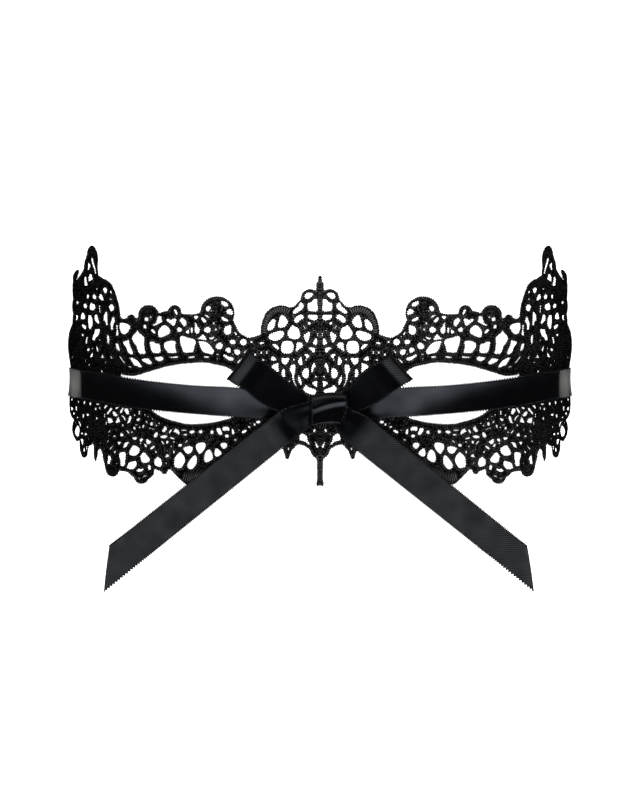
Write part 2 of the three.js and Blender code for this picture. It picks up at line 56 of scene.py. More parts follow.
# Its outline, as it shows from its open side. A row holds where a stretch ends and how far it swells
# out of its chord. One half is given, and the other mirrors it.
CREST_EDGE = [
    (0.6, 36.5, 0.1), (0.7, 35.3, 0), (0.75, 34.9, 0), (1.25, 33.9, 0.1), (1.1, 33.1, 0), (1.4, 32.3, 0),
    (5.75, 29.7, 1.6), (6.4, 29.0, 0), (7.75, 27.7, 0), (8.76, 27.3, 0), (16.5, 25.0, 1.7),
    (17.6, 19.4, 0.3),
]
BROW_EDGE = [
    (20.9, 18.4, -0.1), (23.9, 20.2, -0.2), (25.5, 23.6, 0), (35.0, 25.5, 6.0), (40.2, 25.2, -0.3),
    (44.1, 26.1, 2.0), (46.7, 25.3, 0), (52.8, 24.1, 2.9), (53.4, 23.5, 0), (56.0, 23.8, 1.1),
    (57.6, 24.1, -0.5),
]
WING_EDGE = [
    (58.4, 28.7, 0.1), (60.0, 33.1, 0.1), (61.2, 34.3, 0.1), (62.8, 35.1, 0.1), (64.0, 35.8, 0.1),
    (64.35, 38.3, 0), (64.25, 41.6, 0.1), (64.7, 43.2, 0.1), (66.0, WING_TIP, 0.2), (67.5, 43.2, 0.3),
    (67.8, 41.5, 0), (68.4, 39.7, 0), (68.6, 37.8, 0), (69.3, 36.3, 0), (70.5, 34.6, 0),
    (69.7, 37.2, 0), (70.3, 37.5, 0.1), (71.1, 36.7, 0.15), (71.65, 35.2, 0.1), (71.7, 33.0, 0),
    (71.55, 29.0, 0.1), (71.5, 24.7, 0.3), (71.75, 21.9, 0.1),
]
TEMPLE_EDGE = [
    (72.5, 19.6, 0), (72.65, 12.8, 0.3), (72.35, 10.6, 0), (72.1, 8.6, 0), (72.5, 1.2, 0),
    (72.45, -3.2, 0.05), (72.0, -4.6, 0), (71.25, -5.8, 0), (70.4, -11.9, 0.95), (69.75, -11.5, 0),
    (69.75, -13.9, 0), (69.35, -15.5, 0), (68.4, -16.65, 0.2), (67.3, -15.7, 0.15), (66.95, -13.3, 0),
    (66.25, -13.0, 0), (65.7, -12.5, 0), (65.6, -16.0, 0), (65.05, -18.1, 0.1), (64.4, -16.2, 0.1),
    (64.2, -14.6, 0), (63.8, -14.0, 0.05),
]
CHEEK_EDGE = [
    (63.1, -15.4, 0), (62.75, -17.6, 0.1), (62.15, -20.4, 0), (58.0, -20.4, 1.75), (55.7, -20.9, -0.1),
    (54.1, -22.3, 0.1), (49.6, -22.9, 1.7), (48.1, -21.6, 0.1), (47.9, -20.0, 0), (46.1, -20.9, 0),
    (44.1, -20.3, 1.0), (43.5, -20.2, 0), (41.5, -22.3, 0), (39.4, -24.2, 0), (35.1, -24.2, 0.7),
    (31.4, -22.3, 0.2), (24.7, -17.9, 0.2), (19.7, -13.8, 0.2), (17.1, -12.3, -0.1),
]
NOSE_EDGE = [
    (13.8, -12.3, -0.4), (11.1, -14.1, 0), (10.3, -17.0, 0), (9.1, -17.2, 0.5), (8.3, -15.0, 0),
    (6.5, -13.1, 0), (3.0, -14.7, -0.25), (1.2, -17.3, 0.4), (0.95, -19.0, -0.1), (0.95, -23.3, 0),
    (1.2, -24.6, 0), (1.1, -25.4, 0), (0, -25.4, 0),
]
CREST_TOP = (0, 36.6)

# The openings between the cords, by the corners that each is rounded through.
EYE = [
    (57.7, 7.4), (57.4, 7.8), (57.0, 7.4), (54.3, 7.1), (52.4, 7.4), (51.4, 7.8), (49.3, 8.4),
    (46.4, 9.3), (43.5, 10.0), (40.6, 10.5), (37.7, 10.8), (33.5, 11.0), (30.3, 10.4), (27.9, 9.8),
    (26.3, 9.1), (24.3, 7.2), (23.0, 4.5), (22.6, 1.5), (22.9, -1.2), (24.1, -3.5), (26.4, -5.4),
    (28.5, -6.0), (30.6, -6.5), (33.4, -6.9), (37.1, -7.1), (39.0, -7.0), (41.6, -6.4), (44.1, -5.7),
    (46.9, -4.5), (48.8, -3.1), (52.0, -1.2), (55.3, 2.0), (57.3, 5.5),
]
CREST_OPENINGS = [
    [(4.6, 30.8), (3.5, 31.7), (1.8, 31.4), (3.2, 29.9), (4.3, 29.9)],
    [(3.7, 28.5), (2.7, 28.8), (1.8, 29.7), (0.8, 29.8), (0.75, 28.2), (0.65, 26.4), (1.2, 26.0),
     (3.5, 26.5)],
    [(5.8, 28.9), (4.8, 28.2), (4.9, 27.1), (5.8, 26.3), (7.4, 25.4), (8.1, 25.7), (7.8, 26.5),
     (6.5, 27.6)],
    [(5.3, 25.2), (4.7, 24.2), (5.9, 23.5), (6.8, 22.6), (7.5, 23.0), (7.7, 23.8), (6.6, 24.8)],
    [(3.5, 25.1), (1.0, 25.1), (0.6, 24.5), (0.9, 23.7), (1.9, 23.4), (3.1, 23.9), (3.7, 24.6)],
    [(3.1, 20.2), (3.0, 18.9), (3.8, 16.7), (4.3, 17.4), (4.9, 18.9), (4.3, 19.5)],
    [(13.7, 24.0), (13.1, 23.6), (13.3, 22.1), (13.6, 21.1), (15.0, 20.4), (15.6, 20.9), (15.3, 22.1),
     (14.6, 23.2)],
    [(11.5, 25.1), (10.9, 25.1), (9.4, 23.2), (10.2, 21.7), (11.8, 21.2), (12.4, 21.8), (12.2, 23.2)],
    [(12.1, 20.4), (10.6, 20.2), (10.6, 19.2), (11.4, 18.1), (13.0, 17.4), (14.7, 17.8), (15.3, 18.6),
     (14.6, 19.5)],
    [(8.1, 22.3), (7.7, 21.8), (6.6, 21.4), (5.9, 19.8), (6.0, 18.4), (7.4, 17.8), (9.1, 18.4),
     (9.7, 19.8), (8.9, 21.1)],
]
NOSE_OPENINGS = [
    [(14.2, 16.5), (12.8, 16.4), (12.0, 15.3), (12.2, 14.8), (13.4, 15.5)],
    [(10.8, 17.3), (8.4, 17.3), (7.7, 15.9), (8.3, 13.9), (10.6, 13.7), (11.5, 14.5), (11.4, 16.5)],
    [(6.9, 16.8), (5.6, 17.0), (5.0, 16.2), (5.2, 15.5), (6.3, 14.9), (6.8, 14.2), (7.3, 14.5),
     (6.9, 15.8)],
    [(14.2, 13.0), (12.7, 11.9), (13.9, 11.5), (14.5, 11.8)],
    [(11.3, 12.5), (10.2, 12.3), (9.6, 12.6), (8.9, 12.2), (9.4, 11.2), (10.2, 10.2), (11.2, 11.1)],
    [(5.4, 12.9), (5.3, 11.8), (5.1, 10.8), (5.6, 10.0), (6.5, 11.2), (6.2, 12.2)],
    [(4.7, 13.4), (3.7, 13.6), (3.0, 12.8), (3.8, 12.2), (4.0, 11.4), (4.4, 11.5), (4.1, 12.7)],
    [(1.2, 18.3), (0.8, 17.7), (0.9, 16.1), (2.2, 16.7), (1.9, 17.4)],
    [(3.5, 15.3), (3.1, 15.6), (1.5, 15.3), (1.5, 14.2), (1.9, 13.8), (2.5, 14.5)],
    [(1.8, 11.1), (1.2, 9.9), (1.8, 9.3), (2.1, 8.1), (2.6, 8.1), (2.4, 10.0)],
    [(4.9, 9.0), (4.4, 9.4), (3.4, 9.4), (3.2, 8.3), (3.4, 6.8), (4.1, 6.2), (4.9, 6.8), (5.4, 7.7)],
    [(8.6, 10.3), (7.3, 10.5), (7.2, 9.1), (7.5, 7.4), (7.5, 5.6), (6.8, 4.0), (7.2, 4.0), (8.0, 5.6),
     (8.4, 8.0), (8.9, 8.7)],
    [(6.4, 7.5), (5.6, 6.2), (5.3, 5.2), (5.6, 4.3), (6.4, 5.5), (6.5, 6.8)],
    [(11.1, 9.1), (10.3, 9.1), (10.3, 7.7), (10.0, 7.1), (10.5, 6.5), (11.4, 7.4)],
    [(12.1, 10.9), (12.3, 10.0), (12.1, 8.6), (12.3, 8.0), (13.3, 8.9), (14.5, 9.6), (13.6, 10.6)],
    [(4.0, 4.5), (3.2, 3.7), (1.8, 3.4), (1.0, 2.8), (1.5, 1.6), (2.5, 1.5), (4.0, 2.1), (5.1, 3.1),
     (4.7, 4.0)],
    [(2.4, 5.0), (1.9, 5.5), (0.6, 5.6), (0.9, 4.7), (0.7, 3.8), (1.3, 3.8)],
    [(16.3, 16.9), (17.9, 16.2), (17.6, 17.1)],
    [(2.1, -9.1), (1.8, -8.6), (1.2, -8.6), (1.4, -9.2), (1.7, -9.7)],
    [(5.4, -9.8), (4.5, -10.1), (3.6, -11.2), (3.7, -11.8), (3.0, -13.2), (3.5, -13.2), (4.3, -12.4),
     (6.1, -11.8), (6.0, -10.4)],
    [(1.5, -12.2), (1.3, -12.3), (0.4, -13.8), (0.5, -14.2), (1.0, -14.1), (1.4, -13.0)],
]
ROSETTE_OPENINGS = [
    [(29.0, 29.2), (28.1, 29.0), (27.0, 28.3), (27.0, 27.5), (28.4, 27.7), (29.0, 28.4)],
    [(26.4, 27.0), (25.6, 25.2), (27.2, 25.3), (27.7, 26.1)],
    [(28.7, 24.5), (27.0, 23.6), (27.2, 23.0), (29.0, 23.7)],
    [(33.0, 27.5), (31.9, 27.4), (32.1, 26.5), (32.7, 25.8), (33.4, 26.5)],
    [(33.8, 24.9), (32.8, 24.8), (32.2, 24.0), (33.1, 24.2)],
    [(34.3, 24.3), (33.0, 23.0), (33.4, 22.6), (34.0, 22.7), (34.7, 23.9)],
    [(36.7, 24.5), (35.2, 24.5), (36.2, 23.4)],
    [(32.8, 21.5), (32.0, 20.9), (31.9, 20.2), (32.7, 19.6), (33.8, 20.1), (33.8, 20.8)],
    [(36.5, 22.7), (36.0, 22.4), (35.7, 21.5), (35.0, 20.8), (35.3, 19.5), (35.7, 19.2), (36.4, 19.8),
     (36.4, 21.1)],
    [(38.1, 20.6), (38.1, 19.2), (39.1, 19.7)],
    [(27.0, 22.0), (26.2, 22.2), (26.1, 21.1), (26.2, 19.8), (27.2, 19.1), (28.1, 19.6), (28.2, 20.8),
     (27.8, 21.7)],
    [(25.2, 20.2), (24.8, 20.0), (24.3, 19.0), (24.6, 18.9), (25.2, 19.6)],
    [(26.4, 17.7), (25.1, 17.7), (24.8, 17.1), (25.1, 16.4), (26.2, 16.5), (26.7, 17.1)],
    [(32.5, 18.3), (31.6, 18.4), (31.1, 18.7), (30.8, 18.3), (31.9, 17.6)],
    [(30.2, 18.1), (30.0, 17.9), (30.9, 17.1), (31.1, 17.4)],
    [(29.4, 17.0), (28.4, 16.0), (29.2, 14.9), (30.5, 15.2), (30.5, 16.1)],
    [(34.1, 19.3), (33.6, 18.8), (33.1, 17.6), (35.7, 17.9), (34.9, 18.5)],
    [(27.8, 15.1), (26.8, 15.6), (26.2, 14.8), (26.8, 13.6), (27.4, 14.2), (28.0, 14.4)],
    [(25.4, 14.9), (23.9, 14.9), (23.4, 14.1), (24.0, 13.2), (24.9, 13.4)],
    [(21.7, 14.9), (21.7, 14.4), (22.3, 13.6), (22.6, 13.9)],
    [(22.9, 12.3), (23.4, 11.6), (24.2, 10.7), (24.5, 11.0), (23.7, 12.0)],
    [(28.3, 13.5), (27.1, 13.0), (25.3, 12.3), (25.5, 11.7), (26.8, 11.6), (28.0, 12.5), (28.6, 13.0)],
]
SCROLL_OPENINGS = [
    [(40.0, 24.0), (39.2, 23.5), (38.7, 22.4), (39.2, 21.2), (39.8, 21.7), (40.7, 23.0), (40.5, 23.7)],
    [(40.9, 21.3), (39.8, 20.3), (41.0, 19.6), (41.6, 20.5)],
    [(45.3, 21.8), (44.1, 21.3), (43.4, 20.3), (43.7, 19.2), (45.0, 18.5), (46.3, 18.0), (46.9, 18.5),
     (47.0, 19.8), (46.4, 20.9)],
    [(44.5, 23.6), (44.0, 23.7), (43.5, 23.2), (42.4, 23.8), (41.6, 23.7), (41.7, 23.0), (42.0, 22.1),
     (42.5, 21.3), (43.2, 21.9), (44.5, 23.0)],
    [(42.4, 26.3), (41.8, 26.3), (41.5, 25.9), (41.2, 24.7), (41.7, 24.7), (42.1, 25.3)],
    [(46.9, 24.4), (45.9, 24.4), (46.0, 23.7), (45.6, 22.8), (46.6, 22.2), (47.4, 21.8), (48.0, 21.3),
     (48.7, 21.8), (48.5, 22.0), (47.6, 22.4), (47.3, 23.4)],
    [(48.9, 20.6), (48.3, 20.6), (47.6, 19.5), (47.8, 19.1), (48.9, 19.8)],
    [(51.1, 21.8), (50.5, 21.8), (50.3, 20.8), (50.7, 20.5), (51.3, 21.3)],
    [(57.9, 22.4), (56.0, 22.2), (55.0, 21.5), (55.2, 20.2), (56.3, 18.9), (57.3, 19.0), (57.9, 20.2)],
    [(59.0, 21.8), (58.6, 21.7), (58.5, 20.2), (58.3, 18.6), (59.0, 18.6), (58.9, 20.2)],
]
LADDER_OPENINGS = [
    [(35.4, 17.1), (33.6, 17.1), (32.4, 16.4), (31.5, 15.2), (30.9, 14.5), (31.4, 13.4), (33.9, 13.9),
     (34.5, 14.6), (35.0, 15.9)],
    [(40.6, 18.3), (40.0, 18.7), (38.5, 18.2), (37.0, 17.9), (36.4, 17.5), (36.1, 16.5), (36.6, 15.5),
     (36.7, 14.2), (37.0, 13.9), (39.5, 13.8), (39.9, 14.7), (40.5, 16.5)],
    [(45.3, 15.6), (45.0, 16.7), (43.8, 17.2), (42.2, 17.2), (41.7, 16.6), (42.0, 15.8), (41.6, 13.7),
     (42.1, 13.6), (44.1, 13.7), (44.9, 14.7)],
    [(49.3, 16.8), (48.8, 17.1), (47.4, 16.5), (46.6, 16.3), (46.2, 13.9), (46.6, 13.6), (47.9, 13.5),
     (48.7, 13.8), (49.2, 15.6)],
    [(52.9, 20.3), (52.4, 19.5), (51.0, 18.2), (51.0, 16.0), (50.7, 14.3), (50.4, 13.4), (52.2, 13.3),
     (52.6, 13.7), (53.1, 15.3), (54.5, 17.7), (53.9, 19.2), (53.2, 19.7)],
    [(57.1, 16.6), (56.4, 17.2), (55.4, 17.4), (55.2, 16.6), (55.1, 15.8), (54.5, 14.7), (54.1, 13.2),
     (54.8, 13.1), (55.7, 13.8), (56.1, 15.0)],
    [(59.1, 16.5), (58.4, 16.4), (58.2, 15.5), (57.8, 14.1), (58.1, 13.9), (58.9, 14.9)],
    [(33.9, 12.8), (32.4, 12.8), (32.4, 12.3), (33.7, 12.3)],
    [(38.4, 12.5), (36.4, 12.9), (36.4, 12.4), (38.1, 12.1)],
    [(43.9, 12.6), (42.7, 12.6), (41.2, 12.8), (41.3, 12.2), (43.3, 12.2)],
    [(48.1, 12.4), (46.6, 12.6), (46.0, 12.7), (45.3, 12.1), (45.4, 11.7), (46.6, 11.1), (47.5, 11.5)],
    [(51.7, 11.8), (50.8, 12.2), (49.8, 12.1), (48.7, 11.0), (48.7, 10.5), (49.4, 10.2), (50.8, 10.8),
     (51.4, 11.2)],
    [(55.3, 12.4), (54.5, 12.4), (53.3, 11.8), (52.5, 11.1), (51.7, 10.0), (51.2, 9.7), (52.4, 9.3),
     (53.0, 9.7), (53.9, 9.9), (54.3, 10.7), (54.9, 11.6)],
    [(58.2, 12.7), (57.9, 12.8), (57.0, 11.6), (56.3, 10.6), (56.5, 10.4), (57.5, 11.6)],
]
WING_OPENINGS = [
    [(66.3, 41.1), (65.9, 41.0), (65.6, 39.8), (65.1, 38.0), (64.85, 36.5), (65.1, 36.3), (65.4, 37.6),
     (66.0, 39.4)],
    [(67.1, 39.9), (66.5, 38.9), (66.7, 38.3), (67.0, 37.4), (67.3, 37.4), (67.2, 38.3)],
    [(66.6, 36.6), (66.2, 36.6), (66.1, 35.9), (65.8, 35.1), (65.9, 34.8), (66.9, 34.1), (67.1, 35.4)],
    [(68.2, 35.8), (67.8, 35.8), (67.7, 34.5), (67.4, 33.3), (67.6, 32.7), (68.1, 32.9), (68.3, 34.4)],
    [(62.4, 32.8), (61.7, 32.2), (61.9, 30.9), (62.2, 30.7), (62.6, 31.3), (62.9, 32.0), (62.6, 32.6)],
    [(60.8, 31.6), (60.4, 31.6), (60.3, 30.8), (60.6, 30.7)],
    [(67.3, 30.7), (67.0, 30.1), (67.2, 29.2), (67.5, 29.2), (67.6, 30.1)],
    [(65.4, 30.8), (64.9, 30.1), (65.0, 29.0), (65.7, 29.1), (65.9, 30.0)],
    [(63.7, 30.8), (63.3, 30.7), (62.7, 29.1), (63.0, 28.5), (63.6, 28.9), (64.0, 29.4)],
    [(70.4, 28.7), (70.1, 28.4), (70.0, 27.7), (70.4, 27.6), (70.6, 28.2)],
    [(68.2, 28.0), (67.6, 27.7), (67.6, 26.6), (67.9, 26.3), (68.5, 26.7), (68.5, 27.6)],
    [(66.3, 28.3), (65.9, 27.9), (65.2, 27.7), (65.2, 26.2), (65.9, 25.7), (66.7, 26.1), (66.7, 27.2),
     (66.6, 27.8)],
    [(64.0, 27.5), (63.7, 27.5), (63.7, 26.0), (63.5, 25.1), (63.8, 25.0), (64.0, 26.2)],
    [(60.8, 27.7), (59.9, 27.6), (59.7, 26.0), (60.5, 25.5), (60.8, 25.9), (61.1, 27.0)],
    [(70.7, 24.7), (70.2, 24.6), (70.2, 23.5), (70.4, 22.9), (70.7, 22.9), (70.6, 23.7)],
    [(68.8, 25.5), (68.2, 24.5), (68.2, 23.3), (69.2, 23.2), (69.2, 24.5)],
    [(67.0, 24.7), (66.4, 24.6), (65.9, 23.1), (65.9, 21.6), (66.5, 20.4), (66.8, 20.3), (67.1, 21.6),
     (67.2, 23.3)],
    [(65.0, 24.9), (64.6, 24.9), (64.3, 23.8), (63.9, 22.3), (64.2, 21.8), (64.7, 22.2), (65.3, 23.3),
     (65.3, 24.4)],
    [(61.7, 25.7), (61.6, 24.5), (61.5, 23.4), (61.6, 21.3), (62.0, 21.7), (62.1, 22.3), (62.7, 23.1),
     (62.5, 24.9), (62.0, 25.6)],
    [(59.8, 24.4), (59.5, 23.4), (59.4, 22.7), (59.9, 21.6), (60.0, 20.1), (60.4, 20.0), (60.7, 22.2),
     (60.4, 23.1)],
    [(69.0, 21.9), (68.6, 22.0), (67.9, 21.6), (67.7, 20.5), (68.1, 20.3), (68.8, 20.9)],
    [(65.0, 20.6), (63.8, 20.6), (63.9, 19.4), (64.3, 18.4), (65.1, 17.7), (65.3, 17.0), (65.7, 17.1),
     (66.0, 17.9), (65.4, 19.4)],
    [(69.0, 19.2), (68.4, 19.0), (68.8, 18.2), (69.0, 18.3)],
    [(67.6, 18.3), (67.3, 18.2), (67.5, 17.2), (67.5, 16.2), (67.8, 16.0), (68.0, 16.4), (67.8, 17.6)],
    [(61.7, 19.1), (61.0, 18.2), (61.0, 17.2), (61.2, 16.1), (61.5, 16.2), (61.7, 18.0)],
    [(67.1, 15.1), (66.8, 14.9), (67.1, 13.9), (67.6, 14.4)],
    [(64.8, 15.7), (64.6, 15.6), (64.1, 14.1), (64.5, 13.9), (64.9, 15.3)],
    [(65.9, 13.9), (65.7, 13.6), (66.1, 12.2), (66.6, 12.2), (66.6, 12.8)],
    [(63.0, 13.6), (62.8, 12.8), (62.5, 12.2), (63.5, 12.2), (63.2, 12.8)],
    [(60.8, 13.0), (60.4, 12.7), (60.1, 11.9), (60.4, 11.7), (60.6, 12.3)],
]
TEMPLE_OPENINGS = [
    [(62.2, -1.4), (61.5, -1.5), (61.8, -2.1), (62.4, -2.7), (62.6, -2.6)],
    [(60.6, -2.1), (60.1, -2.3), (60.1, -2.8), (61.1, -3.9), (61.6, -4.4), (61.8, -3.9), (61.1, -2.8)],
    [(59.9, -3.1), (59.5, -3.2), (58.9, -3.9), (58.4, -4.3), (59.1, -5.0), (59.7, -4.6), (60.1, -3.8)],
    [(59.2, -2.1), (58.0, -2.0), (58.5, -2.4), (58.9, -2.8), (59.2, -2.6)],
    [(57.0, -2.1), (56.8, -2.3), (57.5, -3.9), (57.9, -3.9), (57.7, -2.8)],
    [(56.4, -2.3), (55.7, -2.3), (55.3, -3.8), (55.7, -4.4), (56.7, -3.2)],
    [(57.7, -4.6), (57.3, -4.3), (56.6, -4.8), (56.2, -5.9), (56.5, -6.1), (56.8, -5.5), (57.2, -4.9)],
    [(55.2, -4.5), (54.6, -4.6), (54.6, -5.6), (55.0, -6.3), (55.3, -6.9), (56.0, -6.7), (55.6, -6.0)],
    [(61.4, -5.0), (60.4, -5.2), (59.9, -6.6), (61.0, -6.8), (61.3, -6.7), (61.5, -5.7)],
    [(58.2, -4.8), (58.0, -5.7), (57.7, -6.3), (58.9, -6.8), (59.2, -6.6), (58.9, -5.6)],
    [(70.2, -5.9), (69.8, -6.1), (69.3, -7.1), (69.5, -8.0), (69.7, -7.0)],
    [(70.3, -7.2), (69.9, -7.5), (69.7, -8.8), (69.9, -10.4), (70.3, -10.8), (70.8, -10.2), (71.0, -9.0),
     (70.7, -7.9)],
    [(69.3, -11.1), (68.7, -11.1), (68.6, -12.1), (68.8, -13.3), (69.0, -12.9)],
    [(60.8, -8.5), (60.6, -8.6), (61.1, -9.6), (61.4, -9.5)],
    [(57.6, -9.3), (57.3, -9.5), (56.8, -10.4), (57.7, -10.6), (57.9, -10.2)],
    [(56.4, -8.5), (55.7, -8.8), (55.1, -9.6), (55.3, -9.9), (55.9, -9.3)],
    [(59.5, -10.1), (58.9, -10.8), (59.5, -10.7), (60.0, -10.8)],
    [(61.3, -11.4), (61.1, -11.5), (61.6, -12.4), (61.7, -12.2)],
    [(60.1, -13.2), (59.9, -13.4), (60.8, -14.4), (61.0, -14.2)],
    [(59.1, -14.6), (58.9, -14.8), (59.3, -15.4), (59.7, -15.5), (59.6, -14.8)],
    [(58.5, -11.9), (57.9, -12.1), (57.4, -11.8), (57.5, -12.2), (58.2, -13.1), (58.5, -12.5)],
    [(56.4, -12.2), (55.2, -12.1), (55.7, -12.9), (56.1, -13.6), (57.0, -13.9), (56.7, -12.8)],
    [(57.8, -15.0), (56.6, -14.9), (56.2, -15.8), (56.4, -17.4), (56.6, -19.0), (57.1, -19.4),
     (57.7, -19.0), (57.8, -17.4), (58.2, -16.0)],
    [(61.2, -15.6), (60.8, -16.2), (60.4, -16.6), (60.7, -17.7), (61.0, -18.8), (61.5, -18.4),
     (61.4, -16.7)],
    [(54.1, -12.9), (52.5, -13.7), (52.2, -14.5), (52.8, -15.8), (53.6, -16.2), (54.9, -16.1),
     (55.3, -15.3), (54.9, -14.2), (54.5, -13.5)],
    [(53.7, -17.5), (53.1, -17.9), (53.2, -19.0), (53.8, -19.8), (54.5, -20.2), (55.9, -19.8),
     (55.7, -18.7), (55.2, -17.9), (54.5, -17.8)],
    [(53.2, -20.6), (52.6, -19.7), (52.1, -20.0), (51.2, -19.7), (51.0, -20.0), (51.4, -20.6),
     (52.4, -20.9)],
    [(53.0, -22.2), (52.1, -22.9), (52.4, -23.0), (52.8, -22.6)],
    [(51.3, -22.6), (51.1, -21.9), (50.3, -21.9), (50.2, -22.2), (50.8, -22.2)],
    [(51.4, -15.2), (50.8, -15.1), (50.1, -16.0), (49.4, -16.9), (49.3, -17.6), (50.6, -18.4),
     (51.7, -18.1), (52.0, -16.9), (52.1, -16.0), (51.8, -15.6)],
    [(49.6, -18.7), (49.1, -19.0), (49.1, -20.0), (49.5, -20.6), (49.9, -19.8), (49.9, -19.0)],
    [(54.1, -10.7), (53.0, -10.7), (53.2, -11.4), (53.6, -11.7), (54.5, -11.1)],
    [(52.0, -11.1), (51.2, -11.1), (51.7, -12.2), (52.4, -11.8)],
]
CHEEK_OPENINGS = [
    [(50.2, -11.1), (49.6, -11.6), (48.7, -12.1), (49.8, -13.0), (50.4, -12.2)],
    [(50.9, -12.6), (50.5, -12.7), (50.1, -13.4), (50.5, -13.8), (51.0, -13.1)],
    [(48.2, -13.1), (47.8, -13.4), (48.8, -14.4), (49.3, -14.3), (49.1, -13.8)],
    [(46.9, -16.4), (46.1, -17.2), (45.8, -18.9), (46.5, -19.5), (48.0, -18.8), (48.0, -17.3)],
    [(44.5, -15.6), (43.7, -16.0), (43.9, -16.6), (45.0, -16.6), (44.8, -16.1)],
    [(45.0, -17.7), (44.3, -18.5), (44.1, -19.3), (44.5, -18.7)],
    [(47.4, -9.2), (47.0, -9.7), (47.2, -10.6), (47.9, -11.0), (48.3, -10.5), (48.0, -9.7)],
    [(46.4, -10.6), (45.6, -10.2), (44.4, -10.2), (44.2, -10.6), (44.8, -11.2), (46.2, -11.1)],
    [(43.5, -10.8), (42.9, -10.8), (42.1, -11.2), (42.3, -11.5), (43.4, -11.2)],
    [(45.0, -7.4), (44.4, -8.2), (45.0, -9.4), (45.9, -9.1), (45.4, -8.2)],
    [(43.2, -8.4), (42.9, -8.5), (43.5, -9.8), (44.0, -9.8), (43.7, -9.0)],
    [(42.5, -8.9), (41.9, -8.3), (41.2, -8.5), (40.6, -9.7), (40.8, -10.2), (41.6, -9.7), (42.5, -9.3)],
    [(38.0, -9.2), (37.5, -8.9), (36.5, -8.8), (36.5, -9.5), (37.0, -9.9), (37.8, -9.7)],
    [(35.3, -9.1), (34.7, -8.7), (34.3, -8.9), (34.4, -9.8), (35.3, -9.6)],
    [(31.8, -8.8), (31.4, -8.8), (31.0, -9.4), (31.7, -10.2), (32.1, -9.6)],
    [(30.4, -8.4), (29.3, -8.2), (29.0, -9.3), (28.5, -9.7), (29.2, -10.4), (30.0, -9.8)],
    [(28.7, -8.0), (27.3, -7.8), (26.6, -8.4), (26.7, -9.2), (27.6, -9.0), (28.4, -9.3)],
    [(27.9, -10.2), (26.9, -10.2), (27.0, -11.1), (27.9, -11.0)],
    [(26.0, -8.4), (25.5, -8.6), (25.2, -9.6), (25.6, -10.4), (26.0, -9.9)],
    [(23.1, -9.2), (22.1, -8.8), (21.4, -8.8), (21.9, -9.5), (23.0, -9.9)],
    [(25.4, -11.9), (24.9, -11.4), (24.4, -12.0)],
    [(21.4, -7.8), (21.1, -7.5), (20.4, -8.1), (20.8, -8.4)],
    [(19.7, -7.1), (19.3, -6.7), (18.9, -7.3), (19.3, -7.8)],
    [(18.9, -6.4), (18.4, -6.0), (17.4, -6.2), (17.9, -7.0), (18.7, -6.9)],
    [(46.2, -11.9), (45.7, -11.9), (45.1, -12.9), (45.5, -12.9)],
    [(44.6, -11.8), (44.0, -11.8), (43.9, -12.2), (44.2, -12.8), (44.6, -12.7)],
    [(38.6, -11.6), (38.3, -11.9), (39.1, -12.6), (39.2, -12.4)],
    [(40.9, -12.7), (40.1, -12.8), (40.0, -13.4), (40.6, -13.7), (41.2, -13.4)],
]
PETAL_OPENINGS = [
    [(40.6, -15.1), (39.7, -15.9), (39.2, -17.0), (39.4, -18.4), (40.3, -19.8), (41.1, -19.8),
     (42.1, -19.5), (42.3, -18.4), (42.1, -16.8), (41.5, -15.9)],
    [(36.3, -15.8), (35.8, -17.3), (36.1, -18.9), (36.8, -19.9), (37.8, -20.3), (38.4, -19.8),
     (38.6, -18.9), (37.9, -17.5), (36.8, -16.3)],
    [(39.8, -14.0), (38.3, -13.4), (37.0, -13.6), (37.2, -15.0), (38.0, -15.8), (38.8, -15.6),
     (39.5, -14.6)],
    [(36.1, -13.0), (35.4, -12.5), (33.7, -12.5), (33.3, -13.3), (33.9, -14.8), (35.0, -15.9),
     (35.3, -15.5), (36.0, -14.4)],
    [(32.5, -14.4), (31.6, -15.4), (31.4, -17.3), (32.2, -17.9), (33.1, -18.3), (33.7, -18.0),
     (33.8, -16.6), (33.5, -15.4)],
    [(30.4, -14.1), (28.8, -15.6), (30.4, -16.8), (31.0, -15.6)],
    [(29.3, -13.0), (28.6, -12.5), (27.6, -12.7), (27.2, -13.4), (28.1, -14.4), (28.9, -14.0)],
    [(53.3, -5.6), (52.8, -5.2), (52.1, -5.2), (52.1, -5.6), (52.7, -6.3)],
    [(50.7, -5.9), (50.3, -6.0), (49.9, -6.6), (50.3, -6.8)],
    [(49.1, -6.4), (48.6, -6.4), (48.4, -7.1), (48.8, -7.6), (49.3, -7.3)],
    [(54.1, -7.7), (53.7, -7.7), (53.4, -8.2), (53.7, -8.7), (54.1, -8.3)],
    [(51.4, -7.2), (50.8, -7.3), (51.0, -7.7), (51.2, -8.3), (51.5, -8.2)],
    [(49.8, -8.1), (49.0, -8.1), (47.9, -8.5), (48.1, -8.7), (49.0, -8.4)],
]
